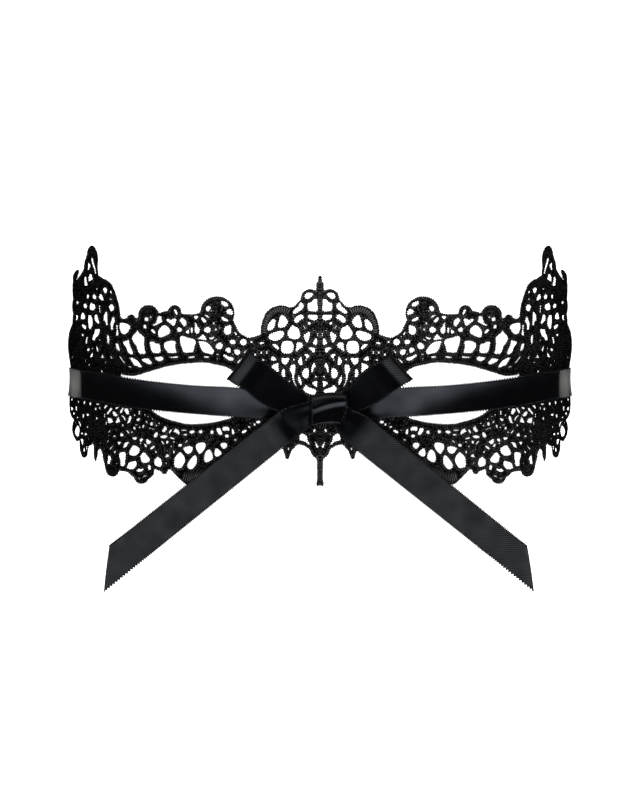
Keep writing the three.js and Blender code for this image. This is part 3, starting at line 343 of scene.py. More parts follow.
# The small round and slit-like openings: middle, width, height and how far each leans, in degrees.
PINHOLES = [
    (3.2, 22.6, 1.0, 1.0, 0), (4.6, 21.5, 1.4, 0.4, 57), (1.8, 20.5, 0.5, 0.5, 0),
    (0.7, 19.3, 0.45, 1.3, 0), (7.7, 11.9, 0.7, 0.7, 0), (1.2, 6.9, 0.7, 0.7, 0),
    (9.0, 5.5, 0.6, 0.6, 0), (16.7, 11.8, 0.9, 0.6, 0), (17.3, 14.0, 0.7, 0.9, 0),
    (15.7, 14.0, 0.5, 1.2, 0), (19.1, 13.4, 0.7, 0.9, 0), (20.2, 17.1, 0.8, 0.8, 0),
    (3.0, -10.1, 0.6, 0.4, 0), (9.3, -14.4, 0.5, 1.0, 0), (5.0, -4.0, 1.6, 1.4, 0),
    (9.5, -1.0, 1.5, 1.8, 20), (9.0, -6.0, 1.6, 1.5, 0), (13.0, -3.2, 1.9, 1.5, 30),
    (13.0, 3.0, 2.0, 2.2, 0), (17.0, 0.3, 1.6, 1.8, 0), (17.6, 5.0, 1.7, 2.2, -20),
    (2.2, -4.4, 1.0, 1.4, 0), (5.8, -0.6, 1.2, 1.3, 0), (9.8, 2.6, 1.3, 1.5, 0),
    (13.4, 6.6, 1.4, 1.1, 0), (18.2, 9.2, 1.2, 1.5, 0), (15.2, -7.2, 1.4, 1.1, 0),
    (12.2, -9.4, 1.4, 1.0, 0), (6.0, -6.6, 1.1, 1.0, 0), (20.0, -3.2, 1.1, 1.5, 20),
    (31.8, 26.1, 0.4, 0.7, 0), (31.1, 22.5, 0.6, 0.95, 0), (37.3, 20.3, 0.65, 2.0, 0),
    (30.5, 20.7, 0.8, 0.8, 0), (29.4, 21.2, 0.5, 0.5, 0), (23.9, 18.7, 0.7, 0.45, 0),
    (22.6, 17.1, 2.1, 2.1, 0), (37.9, 20.9, 0.5, 0.5, 0), (25.7, 13.5, 0.45, 0.65, 0),
    (30.0, 13.4, 0.9, 0.5, 0), (30.1, 12.1, 0.5, 0.5, 0), (50.3, 23.4, 1.3, 1.5, 0),
    (49.1, 24.0, 0.7, 0.7, 0), (55.1, 9.6, 1.1, 0.4, 20),
    (64.7, 32.1, 0.55, 0.55, 0), (60.6, 29.1, 0.8, 0.45, 0), (63.8, 17.3, 0.5, 0.5, 0),
    (62.1, 10.9, 0.5, 0.5, 0), (68.0, 11.3, 0.3, 1.1, 0), (66.9, 10.1, 0.4, 0.8, 0),
    (63.2, 8.3, 0.5, 0.9, 0), (71.3, 9.1, 0.4, 0.3, 0), (71.8, 0.1, 0.35, 1.0, 0),
    (71.8, -2.5, 0.45, 1.6, 0), (71.3, -3.9, 0.4, 1.2, 0), (70.6, -2.4, 0.35, 2.1, 0),
    (70.0, -0.5, 0.3, 1.2, 0), (68.3, -0.8, 0.5, 1.2, 0), (66.6, -1.1, 0.6, 1.1, 0),
    (64.4, -1.2, 1.1, 0.55, 0), (65.0, -2.6, 0.5, 1.0, 0), (63.8, -2.3, 0.4, 1.1, 0),
    (54.8, -2.6, 0.7, 0.4, 0), (62.4, -4.5, 0.35, 1.7, 0), (61.9, -6.7, 0.4, 1.4, 0),
    (68.6, -4.6, 0.5, 1.4, 0), (67.3, -4.3, 0.75, 1.1, 0), (64.7, -5.3, 0.5, 1.2, 0),
    (70.3, -5.0, 0.4, 0.7, 0), (70.9, -6.5, 0.35, 0.35, 0), (67.4, -7.8, 0.4, 0.7, 0),
    (69.0, -9.7, 0.45, 0.9, 0), (67.9, -9.9, 0.65, 1.1, 0), (68.35, -14.4, 0.45, 1.6, 0),
    (67.6, -13.8, 0.3, 1.6, 0), (67.0, -11.1, 0.3, 0.8, 0), (63.7, -12.4, 0.3, 0.5, 0),
    (61.2, -10.3, 0.5, 0.3, 0), (59.0, -8.6, 0.5, 0.4, 0), (59.0, -18.3, 0.3, 0.6, 0),
    (52.0, -12.6, 0.6, 0.6, 0), (47.6, -15.1, 0.5, 0.9, 0), (39.5, -8.8, 1.7, 0.5, 0),
    (39.1, -10.1, 1.3, 0.7, 0), (23.9, -8.9, 0.5, 0.5, 0), (20.6, -6.9, 0.45, 0.45, 0),
    (21.5, -5.7, 0.5, 0.3, 0), (42.4, -12.2, 0.6, 0.6, 0), (43.2, -13.5, 0.45, 0.8, 0),
    (45.1, -14.3, 0.4, 0.4, 0), (44.3, -14.8, 0.4, 0.4, 0), (42.4, -15.1, 0.5, 1.3, 0),
    (52.4, -3.7, 0.45, 1.7, 0), (53.7, -4.4, 0.5, 0.8, 0), (50.8, -4.3, 0.5, 0.6, 0),
    (49.9, -4.8, 0.8, 0.35, 20), (48.6, -5.5, 0.35, 0.7, 0), (46.6, -6.8, 0.7, 0.45, 0),
    (47.5, -7.4, 0.4, 0.8, 0), (57.1, -7.3, 0.55, 0.9, 0), (53.2, -7.2, 0.85, 0.4, 0),
    (52.3, -7.9, 0.45, 0.8, 0), (54.5, -9.3, 0.6, 0.6, 0), (61.2, 4.8, 0.9, 2.2, 10),
    (64.4, 6.4, 0.7, 1.8, 0), (63.7, 2.2, 0.7, 1.6, 0), (67.1, 3.8, 0.6, 2.0, 0),
    (69.6, 5.8, 0.4, 2.2, 0), (70.4, 2.0, 0.4, 1.8, 0), (60.4, 0.8, 0.9, 1.0, 0),
    (66.0, 14.9, 0.3, 0.6, 0), (71.7, 12.3, 0.3, 0.4, 0),
]

# The bend of the panel: flat in the middle, then part of an ellipse on either side. Its length along
# the sheet is tabled against x.
FLAT_HALF = 14
SIDE_REACH = 59.9
SIDE_RISE = 75
BEND_END = 84
LACE_MIDDLE = 0.55
bend_angle = np.radians(np.linspace(0, BEND_END, 20 * BEND_END + 1))
bend_speed = np.hypot(SIDE_REACH * np.cos(bend_angle), SIDE_RISE * np.sin(bend_angle))
bend_step = np.diff(bend_angle) * (bend_speed[1:] + bend_speed[:-1]) / 2
bend_arc = FLAT_HALF + np.concatenate([[0], np.cumsum(bend_step)])
bend_x = FLAT_HALF + SIDE_REACH * np.sin(bend_angle)

# The wings stand nearer to the eye, so they show a little larger than they are. Against x, how much
# further out and how much taller about the eye line the rows above are to be taken.
SIDE_MARKS = [27, 33, 40, 58, 64, 68.5, 71]
SIDE_OUT = [0, 0.3, 0.55, 0.6, 0.4, 0.15, 0]
SIDE_TALL = [0, 0.006, 0.012, 0.012, 0.008, 0.006, 0.005]


def unrolled(points):
    """Takes points in plan to the flat, unbent panel."""
    points = np.array(points, dtype=float)
    points[:, 1] *= 1 + np.interp(points[:, 0], SIDE_MARKS, SIDE_TALL)
    points[:, 0] += np.interp(points[:, 0], SIDE_MARKS, SIDE_OUT)
    arc = np.where(points[:, 0] < FLAT_HALF, points[:, 0], np.interp(points[:, 0], bend_x, bend_arc))
    return np.column_stack([arc, points[:, 1]])


def bent(flat, lift):
    """Takes points of the flat panel, lifted off its middle surface, to their place on the bend."""
    side = np.sign(flat[:, 0])
    angle = np.interp(np.abs(flat[:, 0]), bend_arc, bend_angle)
    slope = np.arctan2(SIDE_RISE * np.sin(angle), SIDE_REACH * np.cos(angle))
    on_flat = np.abs(flat[:, 0]) < FLAT_HALF
    out = np.where(on_flat, np.abs(flat[:, 0]), FLAT_HALF + SIDE_REACH * np.sin(angle))
    x = side * (out - np.sin(slope) * lift)
    z = LACE_MIDDLE + SIDE_RISE * (1 - np.cos(angle)) + np.cos(slope) * lift
    return np.column_stack([x, flat[:, 1] + EYE_LINE, z]) / 1000


NEARLY_STRAIGHT = 0.01
SAME_PLACE = 1e-6


def swollen_chain(start, rows, step=0.2):
    """Points along stretches that each end at x, y and swell out of their chord by an arc."""
    points = [np.array(start, dtype=float)]
    for x, y, swell in rows:
        begin, end = points[-1], np.array([x, y], dtype=float)
        chord = end - begin
        length = np.hypot(*chord)
        outward = np.array([-chord[1], chord[0]]) / length
        half_turn = 2 * math.atan2(2 * swell, length)
        count = max(1, round(length / step))
        for i in range(1, count):
            share = i / count
            rise = 0
            if abs(half_turn) > NEARLY_STRAIGHT:
                turn = half_turn * (2 * share - 1)
                radius = length / 2 / math.sin(half_turn)
                share = 0.5 + radius * math.sin(turn) / length
                rise = radius * (math.cos(turn) - math.cos(half_turn))
            points.append(begin + chord * share + outward * rise)
        points.append(end)
    return np.array(points)


def eased(t, start, way_out, end, way_in, length):
    """A smooth curve at shares t of the way from start to end, leaving and arriving as told."""
    return (
        (2 * t**3 - 3 * t**2 + 1) * start + (t**3 - 2 * t**2 + t) * way_out * length
        + (3 * t**2 - 2 * t**3) * end + (t**3 - t**2) * way_in * length
    )


TENSION = 0.8


def round_loop(corners, per_side=10):
    """A smooth closed curve through the corners."""
    here = np.asarray(corners, dtype=float)
    after, before = np.roll(here, -1, 0), np.roll(here, 1, 0)
    reach = np.hypot(*(after - here).T)[:, None]
    way = TENSION * (after - before) / (reach + np.roll(reach, 1, 0))
    t = np.linspace(0, 1, per_side, endpoint=False)[:, None, None]
    curve = eased(t, here, way, after, np.roll(way, -1, 0), reach)
    return curve.transpose(1, 0, 2).reshape(-1, 2)


def oval(x, y, width, height, lean, sides=16):
    """A closed curve for a small opening, leaning by some degrees."""
    angle = np.linspace(0, 2 * np.pi, sides, endpoint=False)
    across, up = np.cos(angle) * width / 2, np.sin(angle) * height / 2
    c, s = math.cos(math.radians(lean)), math.sin(math.radians(lean))
    return np.column_stack([x + across * c - up * s, y + across * s + up * c])


def evenly(points, step, closed=True):
    """An even number of points at equal steps along a chain."""
    chain = np.vstack([points, points[:1]]) if closed else points
    along = np.concatenate([[0], np.cumsum(np.hypot(*np.diff(chain, axis=0).T))])
    count = max(3, round(along[-1] / step / 2)) * 2
    marks = np.linspace(0, along[-1], count, endpoint=not closed)
    return np.column_stack([np.interp(marks, along, chain[:, k]) for k in (0, 1)])


def heading(loop):
    """Unit vectors along a closed loop."""
    way = np.roll(loop, -1, 0) - np.roll(loop, 1, 0)
    return way / np.maximum(np.hypot(*way.T), SAME_PLACE)[:, None]


# The stitches along every edge: their step, how far they stand in and out, and how unevenly. An
# opening is drawn in by INSET, and its stitches stand out in full from a mean radius of ROOMY. The
# cord that they make is CORD wide up to its crown and THREAD_RISE high, and thins toward the wings.
STITCH_STEP = 0.34
TOOTH = 0.19
FRAY = 0.08
INSET = 0.14
ROOMY = 0.9
CORD = 0.5
THREAD_RISE = 0.5
WING_THINNING = 0.7
OPENING_GIVE = 0.5
fray = np.random.default_rng(11)


def serrated(loop, opening=True, ends_fixed=False):
    """Pushes every other point out and the rest in, unevenly, as the turns of a satin stitch do.

    Where the panel stands steep, a cord shows beside its own rim: the rim gives way for it."""
    way = heading(loop)
    after = np.roll(loop, -1, 0)
    area = (loop[:, 0] * after[:, 1] - loop[:, 1] * after[:, 0]).sum() / 2
    way *= np.sign(area)
    outward = np.column_stack([way[:, 1], -way[:, 0]])
    mean_radius = 2 * abs(area) / np.hypot(*(after - loop).T).sum()
    bite = min(1, mean_radius / ROOMY)
    in_and_out = np.where(np.arange(len(loop)) % 2, 1, -1)
    tooth = bite * (TOOTH * in_and_out + FRAY * fray.uniform(-1, 1, len(loop)))
    if opening:
        tooth -= INSET
    if ends_fixed:
        tooth[[0, -1]] = 0
    angle = np.interp(loop[:, 0], bend_arc, bend_angle)
    slope = np.arctan2(SIDE_RISE * np.sin(angle), SIDE_REACH * np.cos(angle))
    foot = CORD * np.cos(slope)
    rise = THREAD_RISE * (1 - WING_THINNING * angle / bend_angle[-1]) * np.sin(slope)
    given = (np.hypot(foot, rise) - foot) / np.cos(slope)
    shaped = loop + tooth[:, None] * outward
    shaped[:, 0] += given * outward[:, 0] * (OPENING_GIVE if opening else -1)
    return shaped


def within(points, loop):
    """Which points lie inside a closed loop."""
    found = np.zeros(len(points), dtype=bool)
    low, high = loop.min(0), loop.max(0)
    near = np.where(((points > low) & (points < high)).all(1))[0]
    if len(near) == 0:
        return found
    x, y = points[near, 0], points[near, 1]
    crossings = np.zeros(len(near), dtype=int)
    for (ax, ay), (bx, by) in zip(loop, np.roll(loop, -1, 0)):
        spans = (ay > y) != (by > y)
        if spans.any():
            crossings += spans & (x < (bx - ax) * (y - ay) / (by - ay) + ax)
    found[near] = crossings % 2 == 1
    return found


# The outline and all openings on the flat panel, and the net between them: points along the rims,
# beside them at a distance of RIM, and on a grid of triangles elsewhere. Of the last two, those nearer
# to any rim than BESIDE_RIM and CLEAR_OF_RIM times that are left out.
CELL = 0.5
RIM = 0.18
BESIDE_RIM = 0.75
CLEAR_OF_RIM = 1.9
edge_rows = CREST_EDGE + BROW_EDGE + WING_EDGE + TEMPLE_EDGE + CHEEK_EDGE + NOSE_EDGE
edge = evenly(unrolled(swollen_chain(CREST_TOP, edge_rows)), STITCH_STEP, closed=False)
edge = serrated(edge, opening=False, ends_fixed=True)
openings = [EYE] + CREST_OPENINGS + NOSE_OPENINGS + ROSETTE_OPENINGS + SCROLL_OPENINGS + LADDER_OPENINGS
openings += WING_OPENINGS + TEMPLE_OPENINGS + CHEEK_OPENINGS + PETAL_OPENINGS
holes = [serrated(evenly(unrolled(round_loop(corners)), STITCH_STEP)) for corners in openings]
holes += [serrated(evenly(unrolled(oval(*pinhole)), STITCH_STEP)) for pinhole in PINHOLES]
middle_line = evenly(np.array([edge[-1], edge[0]]), CELL, closed=False)[1:-1]
outline = np.vstack([edge, middle_line])

rims = [edge] + holes
rim_tree = kdtree.KDTree(sum(len(r) for r in rims))
rim_points = np.vstack(rims)
rim_way = np.vstack([heading(rim) for rim in rims])
rim_along = np.concatenate([np.arange(len(rim)) * STITCH_STEP for rim in rims])
for i, (x, y) in enumerate(rim_points):
    rim_tree.insert((x, y, 0), i)
rim_tree.balance()


def rim_distance(points):
    """How far each point is from the nearest rim, and the number of the rim point there."""
    found = [rim_tree.find((x, y, 0)) for x, y in points]
    return np.array([f[2] for f in found]), np.array([f[1] for f in found])


def inside_lace(points):
    """Which points lie on thread, inside the outline and outside every opening."""
    kept = within(points, outline)
    for hole in holes:
        kept &= ~within(points, hole)
    return kept


companions = []
for rim in rims:
    way = heading(rim)
    normal = np.column_stack([way[:, 1], -way[:, 0]])
    companions += [rim + RIM * normal, rim - RIM * normal]
companions = np.vstack(companions)
companions = companions[inside_lace(companions)]
companions = companions[rim_distance(companions)[0] > BESIDE_RIM * RIM]
low, high = outline.min(0), outline.max(0)
rows = np.arange(low[1], high[1], CELL * math.sqrt(3) / 2)
grid = np.array([
    (x, y) for i, y in enumerate(rows) for x in np.arange(CELL / 2 + (i % 2) * CELL / 2, high[0], CELL)
])
grid = grid[inside_lace(grid)]
grid = grid[rim_distance(grid)[0] > CLEAR_OF_RIM * RIM]

net_points = np.vstack([outline] + holes + [companions, grid])
net_edges = []
first = 0
for loop in [outline] + holes:
    net_edges += [(first + i, first + (i + 1) % len(loop)) for i in range(len(loop))]
    first += len(loop)
net = geometry.delaunay_2d_cdt([Vector(p) for p in net_points], net_edges, [], 0, SAME_PLACE, False)
flat = np.array([tuple(v) for v in net[0]])
net_triangles = np.array(net[2])
net_triangles = net_triangles[inside_lace(flat[net_triangles].mean(1))]
used, net_triangles = np.unique(net_triangles, return_inverse=True)
flat, net_triangles = flat[used], net_triangles.reshape(-1, 3)

# How thick the thread lies: round cords along every edge, further ridges on the wider fields, and
# padded bands whose stitches run across them. A band is its path, its width and its rise, and lies
# over the cords where it is nearly as high.
UNEVEN = 0.15
RIDGE_PITCH = 0.95
RIDGE_DEPTH = 0.42
# The next two are painted shade: how much of the thread's painted light is taken off in the grooves
# between ridges, and toward the wings.
GROOVE_PAINTED_SHADE = 0.8
WING_PAINTED_SHADE = 0.4
PATH_STEP = 0.1
NEARLY_AS_HIGH = 0.8
PADDED_BANDS = [
    ([(8.9, 26.2), (15.3, 24.2, 1.5), (16.5, 19.6, 0.2)], 2.6, 0.62),
    ([(40.0, -22.2), (35.4, -22.3, 0.5), (31.6, -20.3, 0.2), (26.0, -16.3, 0), (21.8, -12.6, 0),
      (18.6, -10.0, 0)], 3.7, 0.66),
]


def thread_height(points):
    """Height over the middle surface, how far along its row of stitches each point is, and the
    painted light of its colour, from 0 to 1: lighter toward the crown of its cord, with painted
    shade in the grooves between ridges and toward the wings."""
    distance, nearest = rim_distance(points)
    along = rim_along[nearest] + ((points - rim_points[nearest]) * rim_way[nearest]).sum(1)
    inner = np.clip(distance / CORD, 0, 1)
    round_edge = np.sqrt(1 - (1 - inner) ** 2)
    groove = 0.5 - 0.5 * np.cos(2 * np.pi * np.maximum(distance - CORD, 0) / RIDGE_PITCH)
    bend = np.interp(points[:, 0], bend_arc, bend_angle) / bend_angle[-1]
    height = THREAD_RISE * round_edge * (1 - RIDGE_DEPTH * groove) * (1 - WING_THINNING * bend)
    height *= 1 + UNEVEN * fray.uniform(-1, 1, len(points))
    raised = round_edge * (1 - GROOVE_PAINTED_SHADE * groove) * (1 - WING_PAINTED_SHADE * bend)
    for path, width, rise in PADDED_BANDS:
        line = evenly(unrolled(swollen_chain(path[0], path[1:])), PATH_STEP, closed=False)
        gap = np.hypot(points[:, None, 0] - line[None, :, 0], points[:, None, 1] - line[None, :, 1])
        place = gap.argmin(1)
        across = gap.min(1) / (width / 2)
        crown = rise * np.sqrt(np.clip(1 - across**2, 0, 1)) * round_edge
        band = (across < 1) & (crown > NEARLY_AS_HIGH * height)
        height[band] = crown[band]
        along[band] = place[band] * PATH_STEP
        raised[band] = (crown / rise)[band]
    return height, along, raised


height, along, flat_painted_light = thread_height(flat)
sides = np.vstack([net_triangles[:, [0, 1]], net_triangles[:, [1, 2]], net_triangles[:, [2, 0]]])
sides.sort(axis=1)
pairs, uses = np.unique(sides, axis=0, return_counts=True)
open_ends = np.unique(pairs[uses == 1])
on_middle = np.abs(flat[:, 0]) < SAME_PLACE
is_rim = np.zeros(len(flat), dtype=bool)
is_rim[open_ends] = True
is_rim[on_middle] = False
# At the rims the thread has no height and no painted light, so its colour there takes the darkest
# painted shade.
height[is_rim] = 0
flat_painted_light[is_rim] = 0


def weld(first_map, count, keep):
    """Numbers for a second set of points, which shares those that keep names with the first."""
    numbers = np.where(keep, first_map, -1)
    numbers[~keep] = count + np.arange((~keep).sum())
    return numbers, count + (~keep).sum()


top_right = np.arange(len(flat))
bottom_right, total = weld(top_right, len(flat), is_rim)
top_left, total = weld(top_right, total, on_middle)
bottom_left, total = weld(np.where(is_rim, top_left, bottom_right), total, on_middle | is_rim)
points = np.zeros((total, 3))
stitch = np.zeros(total)
raised = np.zeros(total)
for numbers, side, lift in (
    (bottom_left, -1, -1), (top_left, -1, 1), (bottom_right, 1, -1), (top_right, 1, 1),
):
    points[numbers] = bent(flat * (side, 1), height * lift)
    stitch[numbers] = along
    raised[numbers] = flat_painted_light
faces = np.vstack([
    top_right[net_triangles], bottom_right[net_triangles][:, ::-1],
    top_left[net_triangles][:, ::-1], bottom_left[net_triangles],
])
faces = faces[(faces != np.roll(faces, 1, axis=1)).all(1)]


def placed(name, data):
    """A new object in the scene."""
    piece = bpy.data.objects.new(name, data)
    bpy.context.collection.objects.link(piece)
    return piece


def modelled(name, points, faces, **qualities):
    """A smooth piece, whose mesh keeps a number of each quality at every point for its material."""
    mesh = bpy.data.meshes.new(name)
    mesh.from_pydata(points, [], faces)
    for quality, values in qualities.items():
        mesh.attributes.new(quality, "FLOAT", "POINT").data.foreach_set("value", values)
    mesh.polygons.foreach_set("use_smooth", [True] * len(mesh.polygons))
    return placed(name, mesh)


lace = modelled("guipure_lace", points, faces, stitch=stitch, raised=raised)


class Wire:
    """An output socket of a shader's nodes, or only their tree, with arithmetic that adds nodes."""

    def __init__(self, tree, socket):
        self.tree = tree
        self.socket = socket

    def node(self, kind, settings=None, inputs=None, output=0):
        """Adds a node, with its settings made before its sockets are given values or links."""
        made = self.tree.nodes.new(kind)
        for name, value in (settings or {}).items():
            if name == "stops":
                stops = made.color_ramp.elements
                while len(stops) < len(value):
                    stops.new(1)
                for stop, (place, colour) in zip(stops, value):
                    stop.position = place
                    stop.color = (*colour, 1)
            else:
                setattr(made, name, value)
        for name, value in (inputs or {}).items():
            if isinstance(value, Wire):
                self.tree.links.new(value.socket, made.inputs[name])
            else:
                made.inputs[name].default_value = value
        return Wire(self.tree, made.outputs[output])

    def maths(self, operation, *values):
        return self.node("ShaderNodeMath", {"operation": operation}, dict(enumerate(values)))

    def sine(self):
        return self.maths("SINE", self)

    def __add__(self, other):
        return self.maths("ADD", self, other)

    def __sub__(self, other):
        return self.maths("SUBTRACT", self, other)

    def __rsub__(self, other):
        return self.maths("SUBTRACT", other, self)

    def __mul__(self, other):
        return self.maths("MULTIPLY", self, other)

    __radd__ = __add__
    __rmul__ = __mul__


def attribute(draw, name):
    """The number that a mesh keeps at its points under a name."""
    return draw.node("ShaderNodeAttribute", {"attribute_name": name}, output="Fac")


def noise(place, scale, detail):
    """Soft unevenness between 0 and 1."""
    sockets = {"Vector": place, "Scale": scale, "Detail": detail}
    return place.node("ShaderNodeTexNoise", {}, sockets, output="Fac")


def shaded(amount, *stops):
    """A colour that follows an amount, by stops of an amount and its colour."""
    return amount.node("ShaderNodeValToRGB", {"stops": stops}, {"Fac": amount})


def grey(value):
    """A colour without a hue."""
    return (value, value, value)


def embossed(height, depth):
    """Normals for a surface with a height worked into it, up to some metres deep."""
    sockets = {"Height": height, "Strength": 0.9, "Distance": depth}
    return height.node("ShaderNodeBump", {}, sockets, output="Normal")


def lead(surface, **wires):
    """Leads a wire into each socket named."""
    for name, wire in wires.items():
        wire.tree.links.new(wire.socket, surface.inputs[name.replace("_", " ")])


def shader(name, **constants):
    """A new material with plain values on its shader, a wire to draw from, and the shader."""
    material = bpy.data.materials.new(name)
    material.use_nodes = True
    surface = material.node_tree.nodes["Principled BSDF"]
    for socket, value in constants.items():
        surface.inputs[socket.replace("_", " ")].default_value = value
    return material, Wire(material.node_tree, None), surface


# Matt thread: turns of satin stitch across every cord, and fuzzy. Its colour carries painted light:
# lighter toward the crown of each cord, with painted shade between the turns, black painted shade
# in the hollows between the cords, and painted shade toward the wings.
FUZZ = 2200.0
PATCHES = 330.0
TURN_DEPTH = 0.00015
# The darkest colour is painted shade in the hollows, and the lightest a painted highlight on the crowns.
HOLLOW_PAINTED_SHADE = (0.0003, 0.0003, 0.0004)
THREAD_SIDE = (0.014, 0.014, 0.015)
CROWN_PAINTED_HIGHLIGHT = (0.1, 0.1, 0.105)
thread, draw, surface = shader(
    "embroidery_thread", Roughness=0.75, Sheen_Weight=0.0, Specular_IOR_Level=0.0,
)
# The painted light kept at the lace's points: high on the crowns of the cords, low in the grooves, at
# the rims and toward the wings.
crown = attribute(draw, "raised")
turns = (attribute(draw, "stitch") * (math.pi / STITCH_STEP) - math.pi / 2).sine()
where = draw.node("ShaderNodeTexCoord", output="Object")
fuzz = noise(where, FUZZ, 3.0)
patches = noise(where, PATCHES, 2.0)
# The colour is lighter on each turn of stitch and darker between the turns, which is painted shade; fuzz
# and patches are the thread's own uneven tone.
shade = shaded(
    crown * 0.4 + turns * 0.2 + fuzz * 0.5 + patches * 0.2,
    (0.45, HOLLOW_PAINTED_SHADE), (0.7, THREAD_SIDE), (1, CROWN_PAINTED_HIGHLIGHT),
)
lead(surface, Base_Color=shade, Normal=embossed(turns * 0.7 + fuzz * 0.8, TURN_DEPTH))
lace.data.materials.append(thread)
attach(lace, "root")
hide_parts("lace_mask")

# The thread's area on the unbent panel, in both halves. Two sides of a triangle span a
# parallelogram of twice its area, which counts it for both.
corner = flat[net_triangles]
legs = corner[:, 1:] - corner[:, :1]
net_area = np.abs(legs[:, 0, 0] * legs[:, 1, 1] - legs[:, 0, 1] * legs[:, 1, 0]).sum()

# The left ribbon, of black double-faced satin 10 mm wide with a picot along each selvedge: sewn inside
# the temple, folded over its end, led across as a strap, then laid in a loop and cut at a slant. It is
# given by its two selvedges, the upper one first, in the lace's own millimetres.
HALF_WIDTH = 4.3
RIBBON_THICK = 0.3
CROWN = 0.28
PLEAT_SHIFT = 0.15
PLEAT_EASING = 0.3

# The picots take up the outermost share of either half, SELVEDGE. They stand out by PICOT_OUT, and are
# PICOT_REACH deep from their tips to the gaps between them, which lift a little.
SELVEDGE = 0.1
PICOT_PITCH = 0.78
PICOT_REACH = 0.45
PICOT_OUT = 0.22
PICOT_LIFT = 0.06

# The rows of points follow each other in steps of a quarter picot, and lie across a ribbon from one
# selvedge to the other.
RING_STEP = PICOT_PITCH / 4
OUT_FROM_MIDDLE = [0.25, 0.5, 0.7, 0.84, 0.9, 0.94, 0.97, 1]
ACROSS = np.array([-u for u in reversed(OUT_FROM_MIDDLE)] + [0] + OUT_FROM_MIDDLE)


def drawn_through(stations, step, fineness=40):
    """A smooth open path through rows of numbers, the first three a place: rows at equal steps along
    it, and how far along each is."""
    rows = np.asarray(stations, dtype=float)
    span = np.linalg.norm(np.diff(rows[:, :3], axis=0), axis=1)
    knots = np.concatenate([[0], np.cumsum(span)])
    slope = np.gradient(rows, knots, axis=0)
    fine = np.linspace(0, knots[-1], fineness * len(rows))
    i = np.clip(np.searchsorted(knots, fine, side="right") - 1, 0, len(span) - 1)
    t = ((fine - knots[i]) / span[i])[:, None]
    path = eased(t, rows[i], slope[i], rows[i + 1], slope[i + 1], span[i][:, None])
    along = np.concatenate([[0], np.cumsum(np.linalg.norm(np.diff(path[:, :3], axis=0), axis=1))])
    marks = np.linspace(0, along[-1], max(3, round(along[-1] / step)))
    return np.column_stack([np.interp(marks, along, column) for column in path.T]), marks


def ribbon_strip(selvedges, pleats=(), crown=CROWN, bow=0):
    """Points, faces and weave places of one stretch of ribbon, from upper and lower selvedge points.

    A pleat is where along the stretch it is deepest, how far it fades, its depth and how many.
    A bow shifts its middle up the table, so that folds across it curve."""
    upper, lower = np.array(selvedges, dtype=float).transpose(1, 0, 2)
    path, marks = drawn_through(np.hstack([(upper + lower) / 2, (upper - lower) / 2]), RING_STEP)
    middle, reach = path[:, :3], path[:, 3:]
    gap = np.arange(len(marks)) // 2 % 2
    ahead = np.gradient(middle, axis=0)
    ahead /= np.linalg.norm(ahead, axis=1)[:, None]
    face = np.cross(reach, ahead)
    face /= np.linalg.norm(face, axis=1)[:, None]
    side = np.cross(ahead, face)
    top, bottom, weave = [], [], []
    for u in ACROSS:
        place = marks + (reach * u * ahead).sum(1)
        width = (reach * u * side).sum(1)
        selvedge = max(0.0, (abs(u) - (1 - SELVEDGE)) / SELVEDGE)
        out = np.sign(u) * selvedge**1.5 * (PICOT_OUT - PICOT_REACH * gap)
        lift = crown * (1 - u * u) + PICOT_LIFT * math.sin(math.pi * selvedge) * gap
        for deepest, fade, depth, number in pleats:
            near = np.exp(-(((marks - deepest) / fade) ** 2))
            fold = math.cos(math.pi * number * (u + PLEAT_SHIFT))
            lift = lift + near * depth * fold * (1 - PLEAT_EASING * abs(u))
        base = middle + reach * u + side * out[:, None] + np.array([0, bow * (1 - u * u), 0])
        thick = 0 if abs(u) == 1 else RIBBON_THICK / 2
        top.append(base + face * (lift + thick)[:, None])
        bottom.append(base + face * (lift - thick)[:, None])
        weave.append(np.column_stack([width, place, np.full(len(place), abs(u))]))
    columns = top + bottom[-2:0:-1]
    count, rows = len(columns), len(marks)
    points = np.stack(columns, axis=1).reshape(-1, 3)
    weave = np.stack(weave + weave[-2:0:-1], axis=1).reshape(-1, 3)
    ring = np.arange(count)
    faces = []
    for r in range(rows - 1):
        here = r * count + ring
        faces += list(zip(here, np.roll(here, -1), np.roll(here, -1) + count, here + count))
    for base, turned in ((0, -1), ((rows - 1) * count, 1)):
        for i in range(len(ACROSS) - 1):
            quad = [base + i, base + i + 1, base + (count - i - 1) % count, base + (count - i) % count]
            faces.append(tuple(dict.fromkeys(quad[::turned])))
    return points, faces, weave


def cloth_object(name, strips):
    """One piece of cloth from its strips."""
    points, faces, weave = [], [], []
    for strip_points, strip_faces, strip_weave in strips:
        first = sum(len(p) for p in points)
        points.append(strip_points)
        weave.append(strip_weave)
        faces += [tuple(int(i) + first for i in f) for f in strip_faces]
    points, weave = np.vstack(points), np.vstack(weave)
    points[:, 1] += EYE_LINE
    across, along, reach = weave.T
    return modelled(name, points / 1000, faces, across=across, along=along, reach=reach)


def tilted(x, y, z, lean, half=HALF_WIDTH):
    """A pair of selvedge points over and under a middle point, the upper one leaning up by lean."""
    rise = half * math.tan(math.radians(lean))
    return [(x, y + half, z + rise), (x, y - half, z - rise)]


# Where a loop rolls over: distance in from its end, and height. Down a tail: distance from beside the
# knot, and height; the last row holds the heights of the cut's upper and lower corner.
ROLL = [
    (-0.4, 60.6), (0, 62.2), (0.45, 63.15), (0.9, 63.8), (1.4, 64.3), (2.0, 64.75), (2.7, 65.1),
    (3.5, 65.4), (4.5, 65.6), (6.0, 65.6),
]
TAIL_DROP = [
    (0, 62.2), (4, 60.3), (8.9, 56.2), (24, 42.3), (39.5, 27.6), (49.7, 17.7), (56, 11.5), (7.4, 0.9),
]


